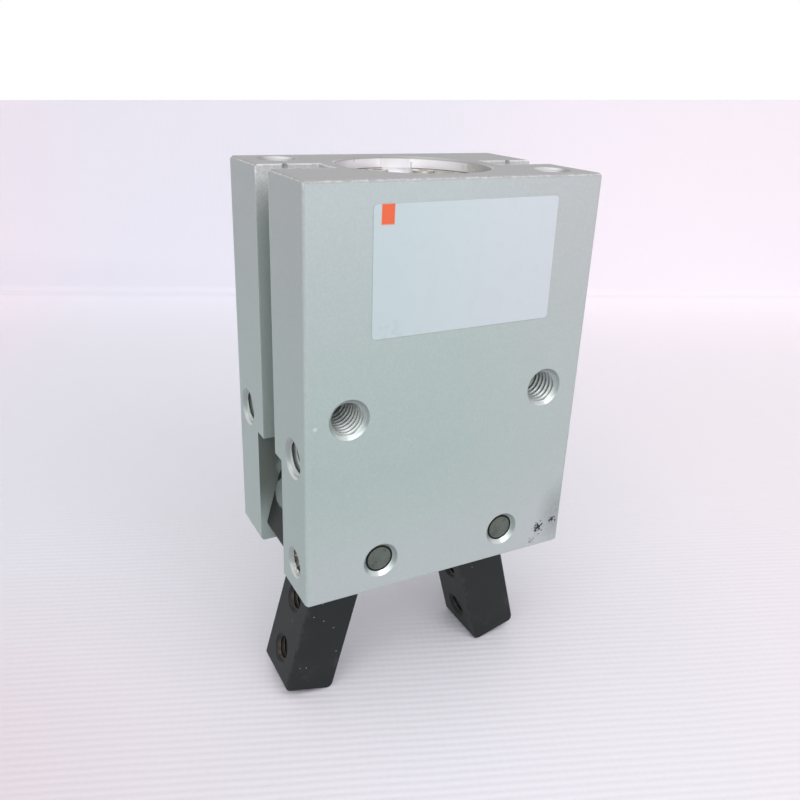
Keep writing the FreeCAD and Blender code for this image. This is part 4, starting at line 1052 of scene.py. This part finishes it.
def make_sticker_film():
    """Pale plastic film with one plain orange corner block and a little handling dirt."""
    material, wiring, shader = new_finish("sticker_film", Metallic=0.0, Coat_Weight=0.15, Coat_Roughness=0.3)
    at = own_position(wiring, (LABEL_X, 0.0, LABEL_Z), (0.0, LABEL_TURN, 0.0))
    x, _, z = wiring.split(at)
    grain = grain_at(wiring, at, fineness=4.0, cloud_scale=0.12)
    from_left = wiring.plus(x, LABEL_HALF_WIDTH)
    from_top = wiring.minus(LABEL_HALF_HEIGHT, z)
    block_across = near_plane(wiring, from_left, *BLOCK_ACROSS)
    block = wiring.times(block_across, near_plane(wiring, from_top, *BLOCK_DOWN))
    darkening = grime_at(wiring, at, patch_scale=0.5, cover=0.5)
    corner = spot_distance(wiring, from_left, from_top, *DIRTY_CORNER)
    darkening = wiring.times(darkening, wiring.ramp(corner, 0.2, 1.0, 0.35, 0.04))
    rim = edge_wear_at(wiring, at, (LABEL_HALF_WIDTH, FAR, LABEL_HALF_HEIGHT), reach=0.4, rag=0.8)
    film = wiring.mix(wiring.ramp(x, -13.0, 11.0), FILM_LEFT, FILM_RIGHT)
    colour = wiring.mix(block, film, FILM_ORANGE)
    colour = wiring.mix(darkening, colour, FILM_DIRT)
    colour = wiring.mix(wiring.times(rim, 0.2), colour, FILM_RIM)
    rough = wiring.blend(grain["Height"], 0.36, 0.48)
    set_look(wiring, shader, colour, grain["Height"], depth=0.006, rough=rough)
    return material


def make_sticker():
    """Sticker: a rounded rectangle shrunk to its middle in steps, with a rolled edge, closed at the back.

    The outline at an angle is the corner circle's point plus the corner centre that lies in the same quarter.
    The steps go from the middle of the face, over the edge, to the middle of the back.
    """
    steps_round = 64
    angle = (np.arange(steps_round) + 0.5) / steps_round * math.tau
    way = np.stack([np.cos(angle), np.sin(angle)], axis=-1)
    corners = np.array([LABEL_HALF_WIDTH, LABEL_HALF_HEIGHT]) - LABEL_CORNER
    outline = corners * np.sign(way) + LABEL_CORNER * way
    shrink = np.array([0.0, 0.98, 0.9993, 1.0, 1.0, 0.0])
    depth = np.array([1.0, 1.0, 0.97, 0.75, -0.2, -0.2]) * LABEL_THICKNESS
    flat = outline[:, None, :] * shrink[None, :, None]
    turned_x = flat[..., 0] * math.cos(LABEL_TURN) + flat[..., 1] * math.sin(LABEL_TURN)
    turned_z = -flat[..., 0] * math.sin(LABEL_TURN) + flat[..., 1] * math.cos(LABEL_TURN)
    y = np.broadcast_to(-HALF_DEPTH - depth[None, :], turned_x.shape)
    points = np.stack([LABEL_X + turned_x, y, LABEL_Z + turned_z], axis=-1)
    piece = new_surface("front_sticker", points, make_sticker_film(), wrap_rows=True)
    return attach(piece, "housing")


def make_spring():
    """Return spring: a round wire along a helix that rises only a little in the turn at each end.

    The wire's centre turns evenly, and its height is a smooth step of the turn mixed with an even rise. Each
    ring of the wire lies in the plane of the helix's radius and of the direction square to its path.
    """
    mean_radius = 5.9
    wire_radius = 0.6
    play = 0.05
    turns = 6.5
    end_turns = 0.85
    end_rise = 0.045
    smooth_share = 0.35
    rings = 300
    steps_round = 12
    low = SPRING_FOOT + wire_radius + play
    high = SPRING_TOP - wire_radius - play
    share = np.linspace(0.0, 1.0, rings)
    ease = end_turns / turns
    middle = np.clip((share - ease) / (1.0 - 2.0 * ease), 0.0, 1.0)
    smooth = middle * middle * (3.0 - 2.0 * middle)
    middle = smooth * smooth_share + middle * (1.0 - smooth_share)
    first = np.clip(share / ease, 0, 1)
    last = np.clip((share - 1 + ease) / ease, 0, 1)
    rise = end_rise * first + (1 - 2 * end_rise) * middle + end_rise * last
    turn = share * turns * math.tau
    outward = np.stack([np.cos(turn), np.sin(turn), np.zeros_like(turn)], axis=-1)
    centre = mean_radius * outward
    centre[:, 2] = low + (high - low) * rise
    along = np.gradient(centre, axis=0)
    along /= np.linalg.norm(along, axis=1, keepdims=True)
    upward = np.cross(along, outward)
    way = np.linspace(0.0, math.tau, steps_round, endpoint=False)
    ring = np.cos(way)[None, :, None] * outward[:, None, :] + np.sin(way)[None, :, None] * upward[:, None, :]
    tube = centre[:, None, :] + wire_radius * ring
    tip = np.broadcast_to(centre[:1, None, :], (1, steps_round, 3))
    tail = np.broadcast_to(centre[-1:, None, :], (1, steps_round, 3))
    points = np.concatenate([tip, tube, tail], axis=0)
    steel = make_ground_steel("spring_wire", (0.40, 0.40, 0.39), (0.56, 0.56, 0.55), *UPRIGHT, pitch=0.6)
    piece = new_surface("return_spring_coil", points, steel, wrap_columns=True, sharp=60.0)
    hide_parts("return_spring")
    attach(piece, "housing")
    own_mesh(piece)


# Camera, from the picture's vanishing points: where it stands and its right, down and forward directions
CAMERA_PLACE = (-52.306, -96.039, 10.846)
CAMERA_RIGHT = (0.886688, -0.460939, 0.036322)
CAMERA_DOWN = (-0.145520, -0.352767, -0.924327)
CAMERA_FORWARD = (0.438871, 0.814304, -0.379870)
CAMERA_LENS = 35.539
SENSOR_WIDTH = 36.0


def set_camera():
    """Camera at the picture's place."""
    data = bpy.data.cameras.new("camera")
    data.sensor_width = SENSOR_WIDTH
    data.lens = CAMERA_LENS
    data.clip_start = 0.005
    data.clip_end = 50.0
    camera = bpy.data.objects.new("camera", data)
    right, down, forward = Vector(CAMERA_RIGHT), Vector(CAMERA_DOWN), Vector(CAMERA_FORWARD)
    turn = Matrix((right, -down, -forward)).transposed().to_4x4()
    camera.matrix_world = Matrix.Translation(Vector(CAMERA_PLACE) * MM) @ turn
    bpy.context.scene.collection.objects.link(camera)
    bpy.context.scene.camera = camera


# Floor sheet: how far it is turned, where it folds up into a low wall, and the wall's sloping top edge
SHEET_TURN = math.radians(-20.6)
SHEET_REACH = 1000.0
FOLD_DISTANCE = 233.9
FOLD_RADIUS = 3.0
WALL_TOP = 0.7
WALL_TOP_SLOPE = 0.033
RIB_PITCH = 1.25

# Tones of the sheet, with painted shade and a painted shadow
SHEET_DARK = (0.985, 0.915, 0.975)
SHEET_LIGHT = (1.0, 0.95, 0.995)
SHEET_LEFT_SHADE = (0.60, 0.54, 0.64)
SHEET_BESIDE_SHADOW = (0.79, 0.875, 0.94)
SHEET_NEAR_LEFT = (0.84, 0.63, 0.68)
SHEET_CREASE_SHADE = (0.56, 0.56, 0.63)


def make_sheet_finish():
    """Pale lilac plastic with fine ribs that run along the fold, and painted shade: darker to the left, a
    painted shadow beside the object, and darker along the fold, on the wall and most low on the wall.
    """
    material, wiring, shader = new_finish("pale_sheet", Roughness=0.6)
    at = own_position(wiring, (0.0, 0.0, FLOOR_Z), (0.0, 0.0, -SHEET_TURN))
    x, y, z = wiring.split(at)
    wander = wiring.noise(at, 0.03, 2.0)
    rib = wiring.math("SINE", wiring.times(wiring.plus(y, wander), math.tau / RIB_PITCH))
    cross_rib = wiring.math("SINE", wiring.times(wiring.plus(x, wander), math.tau / RIB_PITCH))
    weave = wiring.plus(rib, wiring.times(cross_rib, 0.35))
    cloud = wiring.noise(at, 0.006, 3.0)
    colour = wiring.mix(cloud, SHEET_DARK, SHEET_LIGHT)
    # Painted shade that darkens the sheet towards the left
    colour = wiring.mix(wiring.ramp(x, -150.0, 180.0, 0.26, 0.0), colour, SHEET_LEFT_SHADE)
    # Painted shadow beside the object
    beside_shadow = wiring.times(wiring.ramp(x, -140.0, -80.0, 0.0, 0.4), wiring.ramp(x, 20.0, 110.0, 1.0, 0.0))
    colour = wiring.mix(beside_shadow, colour, SHEET_BESIDE_SHADOW)
    near_left = wiring.times(wiring.ramp(y, -25.0, 40.0, 1.0, 0.0), wiring.ramp(x, -85.0, -5.0, 0.46, 0.06))
    colour = wiring.mix(near_left, colour, SHEET_NEAR_LEFT)
    # Painted shade along the fold, on the wall and low on the wall
    crease_shade = wiring.ramp(y, FOLD_DISTANCE - 9.0, FOLD_DISTANCE - 2.0, 0.0, 0.2)
    crease_shade = wiring.times(crease_shade, wiring.ramp(z, 0.3, 2.0, 1.0, 1.35))
    wall_foot_shade = wiring.times(wiring.ramp(z, 5.0, 45.0, 1.0, 0.0), wiring.above(z, 0.3))
    wall_foot_shade = wiring.times(wall_foot_shade, wiring.ramp(x, -150.0, 180.0, 0.36, 0.1))
    crease_shade = wiring.most(crease_shade, wall_foot_shade)
    colour = wiring.mix(crease_shade, colour, SHEET_CREASE_SHADE)
    set_look(wiring, shader, colour, weave, depth=0.016)
    return material


def make_floor():
    """Floor sheet that runs back from the camera and folds up into a low wall.

    Along the sheet the profile is a straight floor, a quarter circle and a straight wall. Across it the
    wall's top edge rises evenly.
    """
    bend = np.linspace(0.0, math.pi / 2, 9)
    centre_y = FOLD_DISTANCE - FOLD_RADIUS
    profile_y = np.concatenate([[-SHEET_REACH], centre_y + FOLD_RADIUS * np.sin(bend), [FOLD_DISTANCE]])
    profile_z = np.concatenate([[0.0], FOLD_RADIUS * (1.0 - np.cos(bend)), [WALL_TOP - FLOOR_Z]]) + FLOOR_Z
    across_x = np.array([-SHEET_REACH, SHEET_REACH])
    x, y = np.meshgrid(across_x, profile_y, indexing="ij")
    z = np.broadcast_to(profile_z, x.shape).copy()
    z[:, -1] += WALL_TOP_SLOPE * across_x
    turned_x = x * math.cos(SHEET_TURN) - y * math.sin(SHEET_TURN)
    turned_y = x * math.sin(SHEET_TURN) + y * math.cos(SHEET_TURN)
    floor = new_surface("floor", np.stack([turned_x, turned_y, z], axis=-1), make_sheet_finish())


# Tones of the light
WORLD_TONE = (1.0, 0.975, 0.99)
WORLD_STRENGTH = 0.455
SOFTBOX_TONE = (1.0, 0.93, 0.97)
WHITE = (1.0, 1.0, 1.0)


def add_sun(name, toward, strength, spread):
    """Soft distant white lamp that shines along a direction, spread over so many degrees."""
    data = bpy.data.lights.new(name, "SUN")
    data.energy = strength * math.pi
    data.angle = math.radians(spread)
    lamp = bpy.data.objects.new(name, data)
    lamp.rotation_euler = Vector(toward).to_track_quat("-Z", "Y").to_euler()
    bpy.context.scene.collection.objects.link(lamp)


def add_softbox(name, place, target, size, power):
    """Square soft lamp that looks at a point. Its place, target and size are in millimetres."""
    data = bpy.data.lights.new(name, "AREA")
    data.shape = "SQUARE"
    data.size = size * MM
    data.energy = power
    data.color = SOFTBOX_TONE
    lamp = bpy.data.objects.new(name, data)
    lamp.location = Vector(place) * MM
    lamp.rotation_euler = (Vector(target) - Vector(place)).to_track_quat("-Z", "Y").to_euler()
    bpy.context.scene.collection.objects.link(lamp)


def set_light():
    """Even studio light.

    A pale world, a wide soft lamp from the upper front left, one from above, and a weak softbox over the
    top's front edge.
    """
    world = bpy.data.worlds.new("studio")
    bpy.context.scene.world = world
    world.use_nodes = True
    tree = world.node_tree
    tree.nodes.clear()
    wiring = Wiring(tree)
    path = wiring.put("ShaderNodeLightPath")
    lit = wiring.put("ShaderNodeBackground", inputs={"Color": WORLD_TONE, "Strength": WORLD_STRENGTH})
    seen = wiring.put("ShaderNodeBackground", inputs={"Color": WHITE, "Strength": 1.0})
    shown = wiring.most(*(path.outputs[f"Is {kind} Ray"] for kind in ("Camera", "Glossy", "Transmission")))
    mix = wiring.put("ShaderNodeMixShader", inputs={0: shown})
    tree.links.new(lit.outputs[0], mix.inputs[1])
    tree.links.new(seen.outputs[0], mix.inputs[2])
    out = wiring.put("ShaderNodeOutputWorld")
    tree.links.new(mix.outputs[0], out.inputs[0])
    add_sun("key", toward=(0.33, 0.76, -0.56), strength=0.42, spread=75.0)
    add_sun("overhead", toward=(0.5, 0.05, -0.86), strength=0.14, spread=60.0)
    add_softbox("over_top_edge", place=(15.0, -95.0, 58.0), target=(5.0, 0.0, -4.0), size=60.0, power=0.042)


set_camera()
dress_nodes()
cut_threads()
make_sticker()
make_spring()
make_floor()
set_light()
bpy.context.scene.view_settings.view_transform = "Standard"
